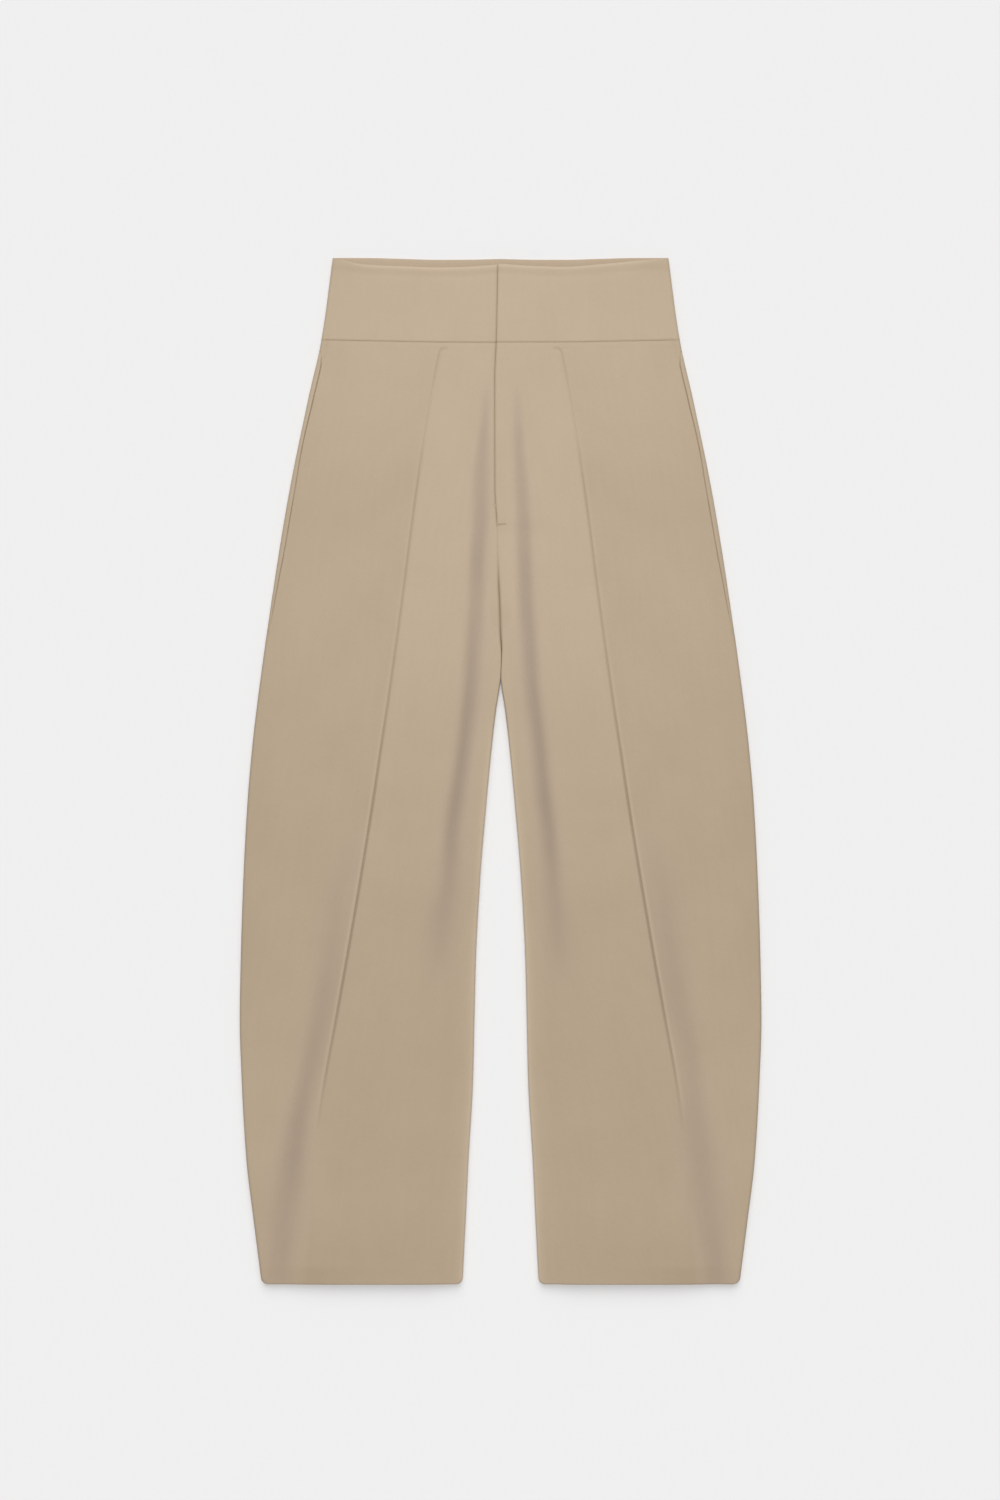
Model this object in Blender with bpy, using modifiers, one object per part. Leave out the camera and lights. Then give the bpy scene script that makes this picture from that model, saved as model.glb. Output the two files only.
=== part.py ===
"""Barrel leg trousers with a deep waistband, laid flat on their back.

Metres, with +Z up, +Y towards the waist and +X on the wearer's left. The origin is on the
surface that the trousers lie on, under the middle of their box. Each leg is a flattened tube
of cloth: the back lies flat on the surface, and the front rolls over its edges and arches over it.
Positions along the garment are given as "down", the distance from the top of the back waistband.
"""

import math
from collections import namedtuple

import bmesh
import bpy

# Driving dimensions
LENGTH = 1.0573  # top of the back waistband to the hem
WAIST_SEAM = 0.0875  # down to the seam under the waistband, at the centre
WAIST_SEAM_RISE = 0.0030  # how much higher that seam is at the sides
FLY_END = 0.2735  # down to the bartack that closes the fly
CROTCH = 0.3590  # down to where the two inseams meet
DART_TOP = 0.0960  # down to the upper and lower points of the long front dart
DART_END = 0.9040
SEAM_CURVE_END = 0.1675  # down to the first row that no longer follows the curve of the waist seam

CLOTH = 0.0012  # one layer of suiting, with its seam allowances
BAND_CLOTH = 0.0018  # the waistband is cut double
LINING_CLOTH = 0.0010  # the pocket facings and the fly's underlap
ZIP_CLOTH = 0.0010
SEAM_GAP = 0.0003  # between two pieces that are sewn together
LAP_GAP = 0.00035  # between two pieces that lie on each other
BAND_LAP_GAP = 0.0011  # between the two ends of the waistband, where the hook lies

PANEL_LIP = 0.0010  # upright stretch of the front's cloth beside the side seam
BAND_LIP = 0.0004  # and of the waistband's, which stands on thicker cloth
EDGE_ROLL = 0.0063  # radius of the front's rolled edge
ROLL_COUNT = 4
SWELL = 0.070  # distance over which the front rises from its rolled edge to its full loft
INSEAM_SWELL = 0.035
FOLD_START = 0.020  # distance from the rolled edge over which a fold gains its depth
LEG_SPLIT_ABOVE = 0.045  # from above the crotch, the fronts' inner edges turn down to the inseams
LEG_SPLIT_LENGTH = 0.055
CORNER = 0.006  # rounding of the hem's corners

DART_HALF = 0.0022  # half the width of the dart's groove
DART_GROOVE = 0.0009
DART_RIDGE = 0.0004  # the dart's allowance is pressed to its outer side
DART_START = 0.012  # lengths over which the groove begins and ends
DART_FADE = 0.030

FLY_UNDER = 0.006  # how far the right front runs on under the left one
FLY_UNDER_FADE = (0.024, 0.016)  # up from the bartack to where that starts and ends to narrow
FLY_LAP_WIDTH = 0.036  # width of the lifted strip beside the fly's edge
FLY_LAP_FADE = 0.028
FLY_LAP_END = (0.008, 0.022)  # up from the bartack, and the length over which the lift fades
LAP_BLEND = 0.050  # down from the waist seam to where the left front's lift is its own
BAND_UNDER = 0.034  # how far the right waistband runs on under the left one
FLY_PIECES_TOP = 0.0030  # the zip and the underlap start this far under the waist seam
ZIP_OFFSET = 0.0070  # from the fly's edge to the zip
ZIP_WIDTH = 0.0240
UNDERLAP_WIDTH = 0.0480
UNDERLAP_END = 0.2990

HOOK_DOWN = (0.0215, 0.0240, 0.0310, 0.0335)  # the hook's plate and its window, down
HOOK_OFFSET = (0.0060, 0.0090, 0.0130, 0.0180)  # and across, from the fly's edge
HOOK_METAL = 0.0005
BAR_WIDTH = 0.0020

POCKET_TOP = 0.0940
POCKET_BOTTOM = 0.3850
POCKET_OPEN = 0.0096  # how far the front's edge stands back from the side seam, along the cloth
POCKET_START = 0.025  # length over which it opens
POCKET_CLOSE = 0.300  # down to where it begins to close again
FACING_DEPTH = 0.026
FACING_GAP = 0.0007
BAG_INSET = 0.008
BAG_DEPTH = 0.140
BAG_NECK = 0.25  # share of that depth that is left at the bag's bottom
BAG_BOTTOM = 0.352
BAG_THICKNESS = 0.0012  # two layers of thin pocketing

# Colours, linear
CLOTH_COLOUR = (0.515, 0.405, 0.285, 1.0)
POCKETING_COLOUR = (0.60, 0.50, 0.38, 1.0)
TAPE_COLOUR = (0.42, 0.33, 0.23, 1.0)
METAL_COLOUR = (0.62, 0.61, 0.59, 1.0)

# Half widths of the garment from its centre line: to the side, to the inseam and to the dart,
# and the height of the front above the surface.
Section = namedtuple("Section", "down side inseam dart loft")
SECTIONS = (
    Section(0.0000, 0.1730, 0.0000, 0.0470, 0.0112),
    Section(0.0870, 0.1847, 0.0000, 0.0612, 0.0114),
    Section(0.1470, 0.1988, 0.0000, 0.0723, 0.0118),
    Section(0.2500, 0.2197, 0.0000, 0.0881, 0.0124),
    Section(0.3590, 0.2371, 0.0000, 0.1022, 0.0136),
    Section(0.4420, 0.2486, 0.0000, 0.1137, 0.0142),
    Section(0.4660, 0.2517, 0.0040, 0.1172, 0.0144),
    Section(0.4970, 0.2555, 0.0077, 0.1220, 0.0146),
    Section(0.5590, 0.2610, 0.0136, 0.1313, 0.0148),
    Section(0.6410, 0.2654, 0.0204, 0.1445, 0.0150),
    Section(0.7240, 0.2681, 0.0248, 0.1588, 0.0150),
    Section(0.7850, 0.2691, 0.0263, 0.1697, 0.0148),
    Section(0.8470, 0.2671, 0.0277, 0.1808, 0.0144),
    Section(0.9300, 0.2622, 0.0324, 0.1927, 0.0136),
    Section(0.9900, 0.2550, 0.0352, 0.1975, 0.0130),
    Section(1.0573, 0.2465, 0.0386, 0.2040, 0.0122),
)

# The fly's edge, the front seam under it, and the line where the legs touch below the crotch.
Centre = namedtuple("Centre", "down x")
CENTRE_LINE = (
    Centre(0.0000, -0.0021),
    Centre(0.0870, -0.0037),
    Centre(0.1270, -0.0053),
    Centre(0.2350, -0.0050),
    Centre(0.2735, -0.0028),
    Centre(0.3300, -0.0010),
    Centre(0.3600, 0.0000),
    Centre(0.3850, 0.0006),
    Centre(0.4050, 0.0017),
    Centre(0.4420, 0.0000),
    Centre(1.0573, 0.0000),
)

# How far the top edges dip below the corners of the waist.
Dip = namedtuple("Dip", "across left right back")
WAIST_DIPS = (
    Dip(0.000, 0.0072, 0.0072, 0.0010),
    Dip(0.035, 0.0094, 0.0099, 0.0018),
    Dip(0.065, 0.0099, 0.0105, 0.0019),
    Dip(0.103, 0.0072, 0.0092, 0.0009),
    Dip(0.140, 0.0036, 0.0072, 0.0000),
    Dip(0.163, 0.0016, 0.0026, 0.0000),
    Dip(0.173, 0.0006, 0.0006, 0.0000),
)

# Soft troughs in the front: where each starts and ends, its depth and its half width at each
# end, and three points (down, x) of its centre.
Fold = namedtuple("Fold", "top bottom depth width_top width_bottom first second third")
FOLDS = (
    Fold(0.120, 0.780, 0.0042, 0.007, 0.016, (0.15, 0.017), (0.44, 0.0295), (0.70, 0.061)),
    Fold(0.110, 0.780, 0.0042, 0.007, 0.016, (0.15, -0.015), (0.44, -0.0290), (0.70, -0.062)),
    Fold(0.560, 1.200, 0.0032, 0.009, 0.026, (0.60, 0.156), (0.84, 0.1975), (1.04, 0.226)),
    Fold(0.560, 1.200, 0.0035, 0.009, 0.026, (0.60, -0.156), (0.84, -0.1950), (1.04, -0.224)),
)

# Rows of the panels: each stretch ends at a distance down and holds that many rows.
Stretch = namedtuple("Stretch", "end rows")
PANEL_STRETCHES = (
    Stretch(0.0940, 1),
    Stretch(0.1190, 4),
    Stretch(0.2590, 5),
    Stretch(0.2735, 1),
    Stretch(0.3590, 5),
    Stretch(0.3790, 1),
    Stretch(0.4430, 2),
    Stretch(0.4970, 3),
    Stretch(1.0450, 18),
    Stretch(1.0530, 1),
    Stretch(LENGTH, 1),
)
INNER_COLUMNS = 8
OUTER_COLUMNS = 6
BACK_COLUMNS = 8
BAND_COLUMNS = 12
BAND_ROWS = 5


def smooth(x):
    """0 up to 0 and 1 from 1, with an even curve between."""
    x = min(1.0, max(0.0, x))
    return x * x * (3 - 2 * x)


def mix(a, b, share):
    return a + (b - a) * share


def read(table, column, at):
    """The value of a table's column, smoothly between its rows and never past them.

    The first column is the position. The slopes are the harmonic means of the steps on both sides.
    """
    xs = [row[0] for row in table]
    ys = [getattr(row, column) for row in table]
    if at <= xs[0]:
        return ys[0]
    if at >= xs[-1]:
        return ys[-1]
    i = max(k for k in range(len(xs) - 1) if xs[k] <= at)

    def step(k):
        return (ys[k + 1] - ys[k]) / (xs[k + 1] - xs[k])

    def slope(k):
        if k == 0:
            return step(0)
        if k == len(xs) - 1:
            return step(k - 1)
        before, after = step(k - 1), step(k)
        return 2 * before * after / (before + after) if before * after > 0 else 0.0

    width = xs[i + 1] - xs[i]
    t = (at - xs[i]) / width
    return (
        (1 + 2 * t) * (1 - t) ** 2 * ys[i]
        + t * (1 - t) ** 2 * width * slope(i)
        + t * t * (3 - 2 * t) * ys[i + 1]
        + t * t * (t - 1) * width * slope(i + 1)
    )


def corner_cut(down):
    """How much the hem's rounded corner takes off the width at this distance down."""
    left = LENGTH - down
    if left >= CORNER:
        return 0.0
    return CORNER - math.sqrt(CORNER**2 - (CORNER - left) ** 2)


def side_x(down):
    return read(SECTIONS, "side", down) - corner_cut(down)


def inseam_x(side, down, centre):
    """The signed place of a panel's inner edge, on the left (side 1) or the right (side -1)."""
    return centre + side * (read(SECTIONS, "inseam", down) + SEAM_GAP / 2 + corner_cut(down))


def seam_drop(across):
    """How far the waist seam lies below its lowest point: negative towards the sides."""
    return -WAIST_SEAM_RISE * (across / side_x(WAIST_SEAM)) ** 2


def y_at(down):
    return LENGTH / 2 - down


def panel_y(down, x):
    """y on a leg panel, whose top rows follow the curve of the waist seam."""
    share = 1 - smooth((down - WAIST_SEAM) / (SEAM_CURVE_END - WAIST_SEAM))
    return y_at(down + seam_drop(x) * share)


def leg_share(down):
    """0 above the crotch, where the front runs on to the other side, and 1 down the leg."""
    return smooth((down - (CROTCH - LEG_SPLIT_ABOVE)) / LEG_SPLIT_LENGTH)


def fold_depth(x, down):
    """How far the soft troughs lower the front here."""
    total = 0.0
    for fold in FOLDS:
        if not fold.top < down < fold.bottom:
            continue
        (d1, x1), (d2, x2), (d3, x3) = fold.first, fold.second, fold.third
        centre = (
            x1 * (down - d2) * (down - d3) / ((d1 - d2) * (d1 - d3))
            + x2 * (down - d1) * (down - d3) / ((d2 - d1) * (d2 - d3))
            + x3 * (down - d1) * (down - d2) / ((d3 - d1) * (d3 - d2))
        )
        share = (down - fold.top) / (fold.bottom - fold.top)
        width = mix(fold.width_top, fold.width_bottom, share)
        total += fold.depth * math.sin(math.pi * share) * math.exp(-(((x - centre) / width) ** 2))
    return total


ROLL_TOP = CLOTH + SEAM_GAP + PANEL_LIP + EDGE_ROLL
ROLL_LENGTH = PANEL_LIP + EDGE_ROLL * math.pi / 2


def rolled_edge(t, lip=PANEL_LIP):
    """(inset, height) of the front's edge, t along the cloth from the seam."""
    if t < lip:
        return 0.0, ROLL_TOP - EDGE_ROLL - lip + t
    angle = min((t - lip) / EDGE_ROLL, math.pi / 2)
    rest = max(0.0, t - lip - EDGE_ROLL * math.pi / 2)
    return EDGE_ROLL * (1 - math.cos(angle)) + rest, ROLL_TOP - EDGE_ROLL * (1 - math.sin(angle))


def roll_steps(lip=PANEL_LIP):
    """Stations along the cloth of a rolled edge, from the seam to where it is level."""
    turn = EDGE_ROLL * math.pi / 2 / ROLL_COUNT
    return [0.0, lip] + [lip + turn * (k + 1) for k in range(ROLL_COUNT)]


def front_height(x, down):
    """Height of the front above the surface, away from its rolled edges."""
    outer = side_x(down) - abs(x)
    inner = abs(x) - read(SECTIONS, "inseam", down)
    rise = smooth((outer - EDGE_ROLL) / SWELL)
    rise *= mix(1.0, smooth((inner - EDGE_ROLL) / INSEAM_SWELL), leg_share(down))
    loft = mix(ROLL_TOP, read(SECTIONS, "loft", down), rise)
    return loft - fold_depth(x, down) * smooth((outer - EDGE_ROLL) / FOLD_START)


def lap_lift(x, down, lift, end):
    """How much the left front is raised where it laps over the right one."""
    beside = x - read(CENTRE_LINE, "x", down)
    along = 1 - smooth((down - end) / FLY_LAP_END[1])
    return lift * along * (1 - smooth((beside - FLY_LAP_WIDTH) / FLY_LAP_FADE))


def dart_relief(offset, down):
    """Height of the dart's groove and ridge, offset from its line towards the side."""
    share = smooth((down - DART_TOP) / DART_START) * smooth((DART_END - down) / DART_FADE)
    return share * (-DART_GROOVE if offset == 0 else DART_RIDGE if offset > 0 else 0.0)


def pocket_share(down):
    """1 where the pocket is open and the front's edge stands back, 0 above and below it."""
    closing = smooth((down - POCKET_CLOSE) / (POCKET_BOTTOM - POCKET_CLOSE))
    return smooth((down - POCKET_TOP) / POCKET_START) * (1 - closing)


def stations(start, stretches):
    """Distances down of the rows: even steps within each stretch."""
    rows = [start]
    for stretch in stretches:
        begin = rows[-1]
        rows += [mix(begin, stretch.end, k / stretch.rows) for k in range(1, stretch.rows + 1)]
    return rows


def front_columns():
    """The front's columns from its inner edge to its side: (zone, value)."""
    inner = [("inner", k / (INNER_COLUMNS + 1)) for k in range(1, INNER_COLUMNS + 1)]
    dart = [("dart", k * DART_HALF) for k in (-1, 0, 1)]
    outer = [("outer", k / (OUTER_COLUMNS + 1)) for k in range(1, OUTER_COLUMNS + 1)]
    return (
        [("inseam", t) for t in roll_steps()]
        + inner
        + dart
        + outer
        + [("side", t) for t in reversed(roll_steps())]
    )


def front_inner_x(side, down):
    """The signed place of the front's inner edge. The right front runs on under the left's fly."""
    edge = inseam_x(side, down, read(CENTRE_LINE, "x", down))
    if side > 0:
        return edge
    start, end = (FLY_END - up for up in FLY_UNDER_FADE)
    return edge + FLY_UNDER * (1 - smooth((down - start) / (end - start)))


def front_point(side, down, column):
    """A point of the front's outer face."""
    zone, value = column
    inner_x = front_inner_x(side, down)
    side_inset, side_height = rolled_edge(value + POCKET_OPEN * pocket_share(down))
    last_inset = rolled_edge(ROLL_LENGTH + POCKET_OPEN * pocket_share(down))[0]
    dart_x = side * read(SECTIONS, "dart", down)
    dart_offset = None
    if zone == "inseam":
        inset, height = rolled_edge(value)
        x = inner_x + side * mix(value, inset, leg_share(down))
        z = mix(front_height(x, down), height, leg_share(down))
    elif zone == "side":
        x = side * (side_x(down) - side_inset)
        z = side_height + front_height(x, down) - ROLL_TOP if side_inset > EDGE_ROLL else side_height
    else:
        first_x = inner_x + side * mix(ROLL_LENGTH, EDGE_ROLL, leg_share(down))
        last_x = side * (side_x(down) - last_inset)
        if zone == "inner":
            x = mix(first_x, dart_x - side * DART_HALF, value)
        elif zone == "outer":
            x = mix(dart_x + side * DART_HALF, last_x, value)
        else:
            x = dart_x + side * value
            dart_offset = value
        z = front_height(x, down)
    if dart_offset is not None:
        z += dart_relief(dart_offset, down)
    if side > 0:
        at_band = 1 - smooth((down - WAIST_SEAM) / LAP_BLEND)
        lift = mix(CLOTH + LAP_GAP, BAND_CLOTH + BAND_LAP_GAP, at_band)
        z += lap_lift(x, down, lift, FLY_END - FLY_LAP_END[0])
    return x, panel_y(down, x), z


def back_point(side, down, share):
    """A point of the back's outer face, which lies on the surface, from its inner edge to its side."""
    centre = read(CENTRE_LINE, "x", down) if down > CROTCH else 0.0
    x = mix(inseam_x(side, down, centre), side * side_x(down), share)
    return x, panel_y(down, x), 0.0


def band_down(share, x, column):
    """Down on a waistband, from its top edge (share 0) to the waist seam (share 1)."""
    top = read(WAIST_DIPS, column, abs(x))
    return mix(top, WAIST_SEAM - SEAM_GAP + seam_drop(x), share)


def band_front_point(side, share, column):
    """A point of a front waistband's outer face."""
    zone, value = column
    straight_down = share * WAIST_SEAM
    fly_x = read(CENTRE_LINE, "x", straight_down)
    if zone == "side":
        inset, z = rolled_edge(value, BAND_LIP)
        x = side * (side_x(straight_down) - inset)
    else:
        inner_x = fly_x + SEAM_GAP / 2 if side > 0 else fly_x + BAND_UNDER
        x = mix(inner_x, side * (side_x(straight_down) - EDGE_ROLL), value)
        z = front_height(x, straight_down)
        if side > 0:
            z += lap_lift(x, straight_down, BAND_CLOTH + BAND_LAP_GAP, WAIST_SEAM)
    down = band_down(share, x, "left" if side > 0 else "right")
    return x, y_at(down), z


def band_back_point(share, value):
    """A point of the back waistband's outer face, from its right end (-1) to its left end (1)."""
    x = value * side_x(share * WAIST_SEAM)
    return x, y_at(band_down(share, x, "back")), 0.0


def plain_material(name, colour, roughness, metallic=0.0):
    material = bpy.data.materials.new(name)
    material.use_nodes = True
    shader = material.node_tree.nodes["Principled BSDF"]
    shader.inputs["Base Color"].default_value = colour
    shader.inputs["Roughness"].default_value = roughness
    shader.inputs["Metallic"].default_value = metallic
    return material


def sheet(name, rows, columns, place, wall, material, faces_up, window=False):
    """One piece of cloth: a grid whose points are placed one by one, thickened away from its face.

    With a window, the face in the middle is left out.
    """
    grid = bmesh.new()
    across, along = len(columns) - 1, len(rows) - 1
    bmesh.ops.create_grid(grid, x_segments=across, y_segments=along, size=0.5)
    if window:
        middle = min(grid.faces, key=lambda face: face.calc_center_median().length)
        bmesh.ops.delete(grid, geom=[middle], context="FACES_ONLY")
    for vertex in grid.verts:
        column = columns[round((vertex.co.x + 0.5) * across)]
        row = rows[round((0.5 - vertex.co.y) * along)]
        vertex.co = place(row, column)
    grid.normal_update()
    if (sum(face.normal.z * face.calc_area() for face in grid.faces) > 0) != faces_up:
        bmesh.ops.reverse_faces(grid, faces=grid.faces)
    mesh = bpy.data.meshes.new(name)
    grid.to_mesh(mesh)
    grid.free()
    mesh.materials.append(material)
    mesh.shade_smooth()
    mesh.set_sharp_from_angle(angle=math.radians(40))
    piece = bpy.data.objects.new(name, mesh)
    trousers.objects.link(piece)
    thickness = piece.modifiers.new("wall", "SOLIDIFY")
    thickness.thickness = wall
    thickness.offset = -1.0
    thickness.use_even_offset = True
    thickness.use_quality_normals = True
    return piece


def facing_point(side, down, t):
    """A point of the pocket facing, which runs round the edge under the front's cloth."""
    inset, height = rolled_edge(t)
    under = CLOTH + FACING_GAP
    angle = min(max(0.0, t - PANEL_LIP) / EDGE_ROLL, math.pi / 2)
    x = side * (side_x(down) - inset - under * math.cos(angle))
    z = height - under * math.sin(angle)
    if inset > EDGE_ROLL:
        z += front_height(x, down) - ROLL_TOP
    return x, panel_y(down, x), z


def bag_point(side, down, share):
    """A point of the pocket bag, which lies on the back."""
    reach = 1 - ((down - POCKET_TOP) / (BAG_BOTTOM - POCKET_TOP)) ** 4
    depth = BAG_DEPTH * mix(BAG_NECK, 1.0, math.sqrt(max(0.0, reach)))
    x = side * (side_x(down) - BAG_INSET - depth * share)
    return x, panel_y(down, x), CLOTH + SEAM_GAP


def under_fly_point(down, offset, depth):
    """A point under the fly, offset from its edge and lower than the right front's face."""
    x = read(CENTRE_LINE, "x", down) + offset
    return x, panel_y(down, x), front_height(x, down) - depth


def on_band_point(down, offset):
    """A point above the right waistband's underlap, at the top of the hook's metal."""
    x = read(CENTRE_LINE, "x", down) + offset
    return x, y_at(down), front_height(x, down) + SEAM_GAP + HOOK_METAL


def even(first, last, count):
    return [mix(first, last, k / count) for k in range(count + 1)]


for old in list(bpy.data.objects):
    bpy.data.objects.remove(old)
trousers = bpy.data.collections.new("barrel_leg_trousers")
bpy.context.scene.collection.children.link(trousers)

suiting = plain_material("suiting", CLOTH_COLOUR, 0.85)
pocketing = plain_material("pocketing", POCKETING_COLOUR, 0.9)
zip_tape = plain_material("zip_tape", TAPE_COLOUR, 0.8)
hook_metal = plain_material("hook_metal", METAL_COLOUR, 0.35, metallic=1.0)

panel_rows = stations(WAIST_SEAM, PANEL_STRETCHES)
band_rows = even(0.0, 1.0, BAND_ROWS)

for side, hand in ((1, "left"), (-1, "right")):
    sheet(
        f"front_{hand}",
        panel_rows,
        front_columns(),
        lambda down, column, side=side: front_point(side, down, column),
        CLOTH,
        suiting,
        True,
    )
    sheet(
        f"back_{hand}",
        panel_rows,
        even(0.0, 1.0, BACK_COLUMNS),
        lambda down, share, side=side: back_point(side, down, share),
        CLOTH,
        suiting,
        False,
    )
    sheet(
        f"waistband_front_{hand}",
        band_rows,
        [("middle", share) for share in even(0.0, 1.0, BAND_COLUMNS)]
        + [("side", t) for t in reversed(roll_steps(BAND_LIP)[:-1])],
        lambda share, column, side=side: band_front_point(side, share, column),
        BAND_CLOTH,
        suiting,
        True,
    )
    sheet(
        f"pocket_facing_{hand}",
        [down for down in panel_rows if down < POCKET_BOTTOM],
        roll_steps() + even(ROLL_LENGTH, FACING_DEPTH, 2)[1:],
        lambda down, t, side=side: facing_point(side, down, t),
        LINING_CLOTH,
        suiting,
        True,
    )
    sheet(
        f"pocket_bag_{hand}",
        even(POCKET_TOP, BAG_BOTTOM, 10),
        even(0.0, 1.0, 3),
        lambda down, share, side=side: bag_point(side, down, share),
        BAG_THICKNESS,
        pocketing,
        False,
    )

sheet(
    "waistband_back",
    band_rows,
    even(-1.0, 1.0, BAND_COLUMNS),
    band_back_point,
    BAND_CLOTH,
    suiting,
    False,
)
fly_rows = [WAIST_SEAM + FLY_PIECES_TOP] + [down for down in panel_rows if down > POCKET_TOP]
zip_end = ZIP_OFFSET + ZIP_WIDTH
sheet(
    "fly_underlap",
    [down for down in fly_rows if down < UNDERLAP_END],
    even(zip_end - UNDERLAP_WIDTH, zip_end, 6),
    lambda down, offset: under_fly_point(down, offset, LAP_GAP + ZIP_CLOTH + SEAM_GAP),
    LINING_CLOTH,
    suiting,
    True,
)
sheet(
    "fly_zip",
    [down for down in fly_rows if down < FLY_END],
    even(ZIP_OFFSET, zip_end, 3),
    lambda down, offset: under_fly_point(down, offset, LAP_GAP),
    ZIP_CLOTH,
    zip_tape,
    True,
)
sheet(
    "waist_hook", HOOK_DOWN, HOOK_OFFSET, on_band_point, HOOK_METAL, hook_metal, True, window=True
)
bar_start = HOOK_OFFSET[1] + SEAM_GAP
sheet(
    "waist_bar",
    even(HOOK_DOWN[1] + SEAM_GAP, HOOK_DOWN[2] - SEAM_GAP, 1),
    even(bar_start, bar_start + BAR_WIDTH, 1),
    on_band_point,
    HOOK_METAL,
    hook_metal,
    True,
)
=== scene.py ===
import math
from collections import namedtuple
from functools import lru_cache

import bmesh
import bpy
from mathutils import Matrix, Vector, noise


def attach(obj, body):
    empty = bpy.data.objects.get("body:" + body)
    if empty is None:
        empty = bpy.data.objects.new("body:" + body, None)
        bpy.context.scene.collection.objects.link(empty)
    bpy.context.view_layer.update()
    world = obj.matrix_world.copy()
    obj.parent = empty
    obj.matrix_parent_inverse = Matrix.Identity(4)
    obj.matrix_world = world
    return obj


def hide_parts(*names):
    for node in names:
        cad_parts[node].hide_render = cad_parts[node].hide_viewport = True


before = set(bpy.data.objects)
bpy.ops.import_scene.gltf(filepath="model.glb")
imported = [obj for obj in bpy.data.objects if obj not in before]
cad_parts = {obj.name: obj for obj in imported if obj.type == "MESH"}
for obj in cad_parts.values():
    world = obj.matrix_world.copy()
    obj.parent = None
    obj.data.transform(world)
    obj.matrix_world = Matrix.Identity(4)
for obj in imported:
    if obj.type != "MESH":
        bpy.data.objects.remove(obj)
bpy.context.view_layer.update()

# Suiting
# The whole garment is cut from one matte, mid-weight suiting: a fine twill of beige yarns that
# vary a little in tone, with a short soft nap. All woven pieces share the groups below.


class Nodes:
    """Adds nodes to a tree and joins them, with short words for what is done most."""

    def __init__(self, tree):
        self.tree = tree

    def add(self, kind, operation=None, **inputs):
        node = self.tree.nodes.new(kind)
        if operation:
            node.operation = operation
        for key, value in inputs.items():
            place = int(key[1:]) if key[0] == "i" and key[1:].isdigit() else key.replace("_", " ")
            self.put(node.inputs[place], value)
        return node

    def put(self, socket, value):
        if isinstance(value, bpy.types.NodeSocket):
            self.tree.links.new(value, socket)
        else:
            socket.default_value = value

    def math(self, operation, a, b=0.0):
        return self.add("ShaderNodeMath", operation, i0=a, i1=b).outputs[0]

    def noise(self, vector, scale, detail=2.0, roughness=0.5):
        node = self.add("ShaderNodeTexNoise", Vector=vector, Scale=scale, Detail=detail)
        node.inputs["Roughness"].default_value = roughness
        return node.outputs["Fac"]

    def ramp(self, value, low, high, first, last):
        """value mapped from low..high to first..last, held at the ends."""
        node = self.add("ShaderNodeMapRange", i0=value, i1=low, i2=high, i3=first, i4=last)
        return node.outputs[0]

    def colours(self, share, first, second, blend="MIX"):
        node = self.tree.nodes.new("ShaderNodeMix")
        node.data_type = "RGBA"
        node.blend_type = blend
        for place, value in ((0, share), (6, first), (7, second)):
            self.put(node.inputs[place], value)
        return node.outputs[2]


def new_group(name, inputs, outputs):
    """A shader node group with these sockets; returns it with its Nodes, inputs and outputs."""
    group = bpy.data.node_groups.new(name, "ShaderNodeTree")
    for direction, sockets in (("INPUT", inputs), ("OUTPUT", outputs)):
        for label, kind in sockets:
            group.interface.new_socket(label, in_out=direction, socket_type=kind)
    nodes = Nodes(group)
    return group, nodes, nodes.add("NodeGroupInput").outputs, nodes.add("NodeGroupOutput").inputs


FLOAT, COLOUR, VECTOR = "NodeSocketFloat", "NodeSocketColor", "NodeSocketVector"

# Patterns for each metre of the cut cloth, across it and along it.
YARN_WANDER = 900.0
THREAD_STREAKS = (2600.0, 260.0, 1.0)
LONG_YARNS = (210.0, 17.0, 1.0)
DYE_CLOUDS = 14.0
WORN_PATCHES = 60.0

# What each of them and the painted shade in seams, creases and down the legs multiply the colour by.
CLOUD_TINT = (0.965, 0.960, 0.950, 1.0)
SLUB_TINT = (0.987, 0.985, 0.982, 1.0)
SHADE_TINT = (0.500, 0.450, 0.390, 1.0)
CREASE_TINT = (0.785, 0.777, 0.790, 1.0)
CREASE_BLUE_TINT = (1.000, 1.000, 1.050, 1.0)
YARN_GAP_TINT = (0.450, 0.400, 0.340, 1.0)
CREASE_BLUE_SPREAD = 0.3

weave, nodes, given, made = new_group(
    "fine_weave",
    [("Place", VECTOR), ("Pitch", FLOAT), ("Twill", FLOAT)],
    [("Height", FLOAT), ("Thread", FLOAT)],
)
per_metre = nodes.math("DIVIDE", 2 * math.pi, given["Pitch"])
place = nodes.add("ShaderNodeSeparateXYZ", Vector=given["Place"]).outputs
wander = nodes.ramp(nodes.noise(given["Place"], YARN_WANDER, 1.0), 0.3, 0.7, -0.9, 0.9)
across = nodes.math("ADD", nodes.math("MULTIPLY", place[0], per_metre), wander)
along = nodes.math("ADD", nodes.math("MULTIPLY", place[1], per_metre), wander)
warp = nodes.math("SINE", across)
weft = nodes.math("SINE", along)
plain = nodes.math("MULTIPLY", warp, weft)
rib = nodes.math("SINE", nodes.math("MULTIPLY", nodes.math("ADD", across, along), 0.5))
ribbed = nodes.math("MULTIPLY", rib, given["Twill"])
both = nodes.math("ADD", nodes.math("MULTIPLY", plain, 0.4), ribbed)
nodes.put(made["Height"], nodes.ramp(both, -1.2, 1.2, 0.0, 1.0))
streaks = nodes.add("ShaderNodeVectorMath", "MULTIPLY", i0=given["Place"], i1=THREAD_STREAKS)
nodes.put(made["Thread"], nodes.noise(streaks.outputs[0], 1.0, 3.0, 0.6))

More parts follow.
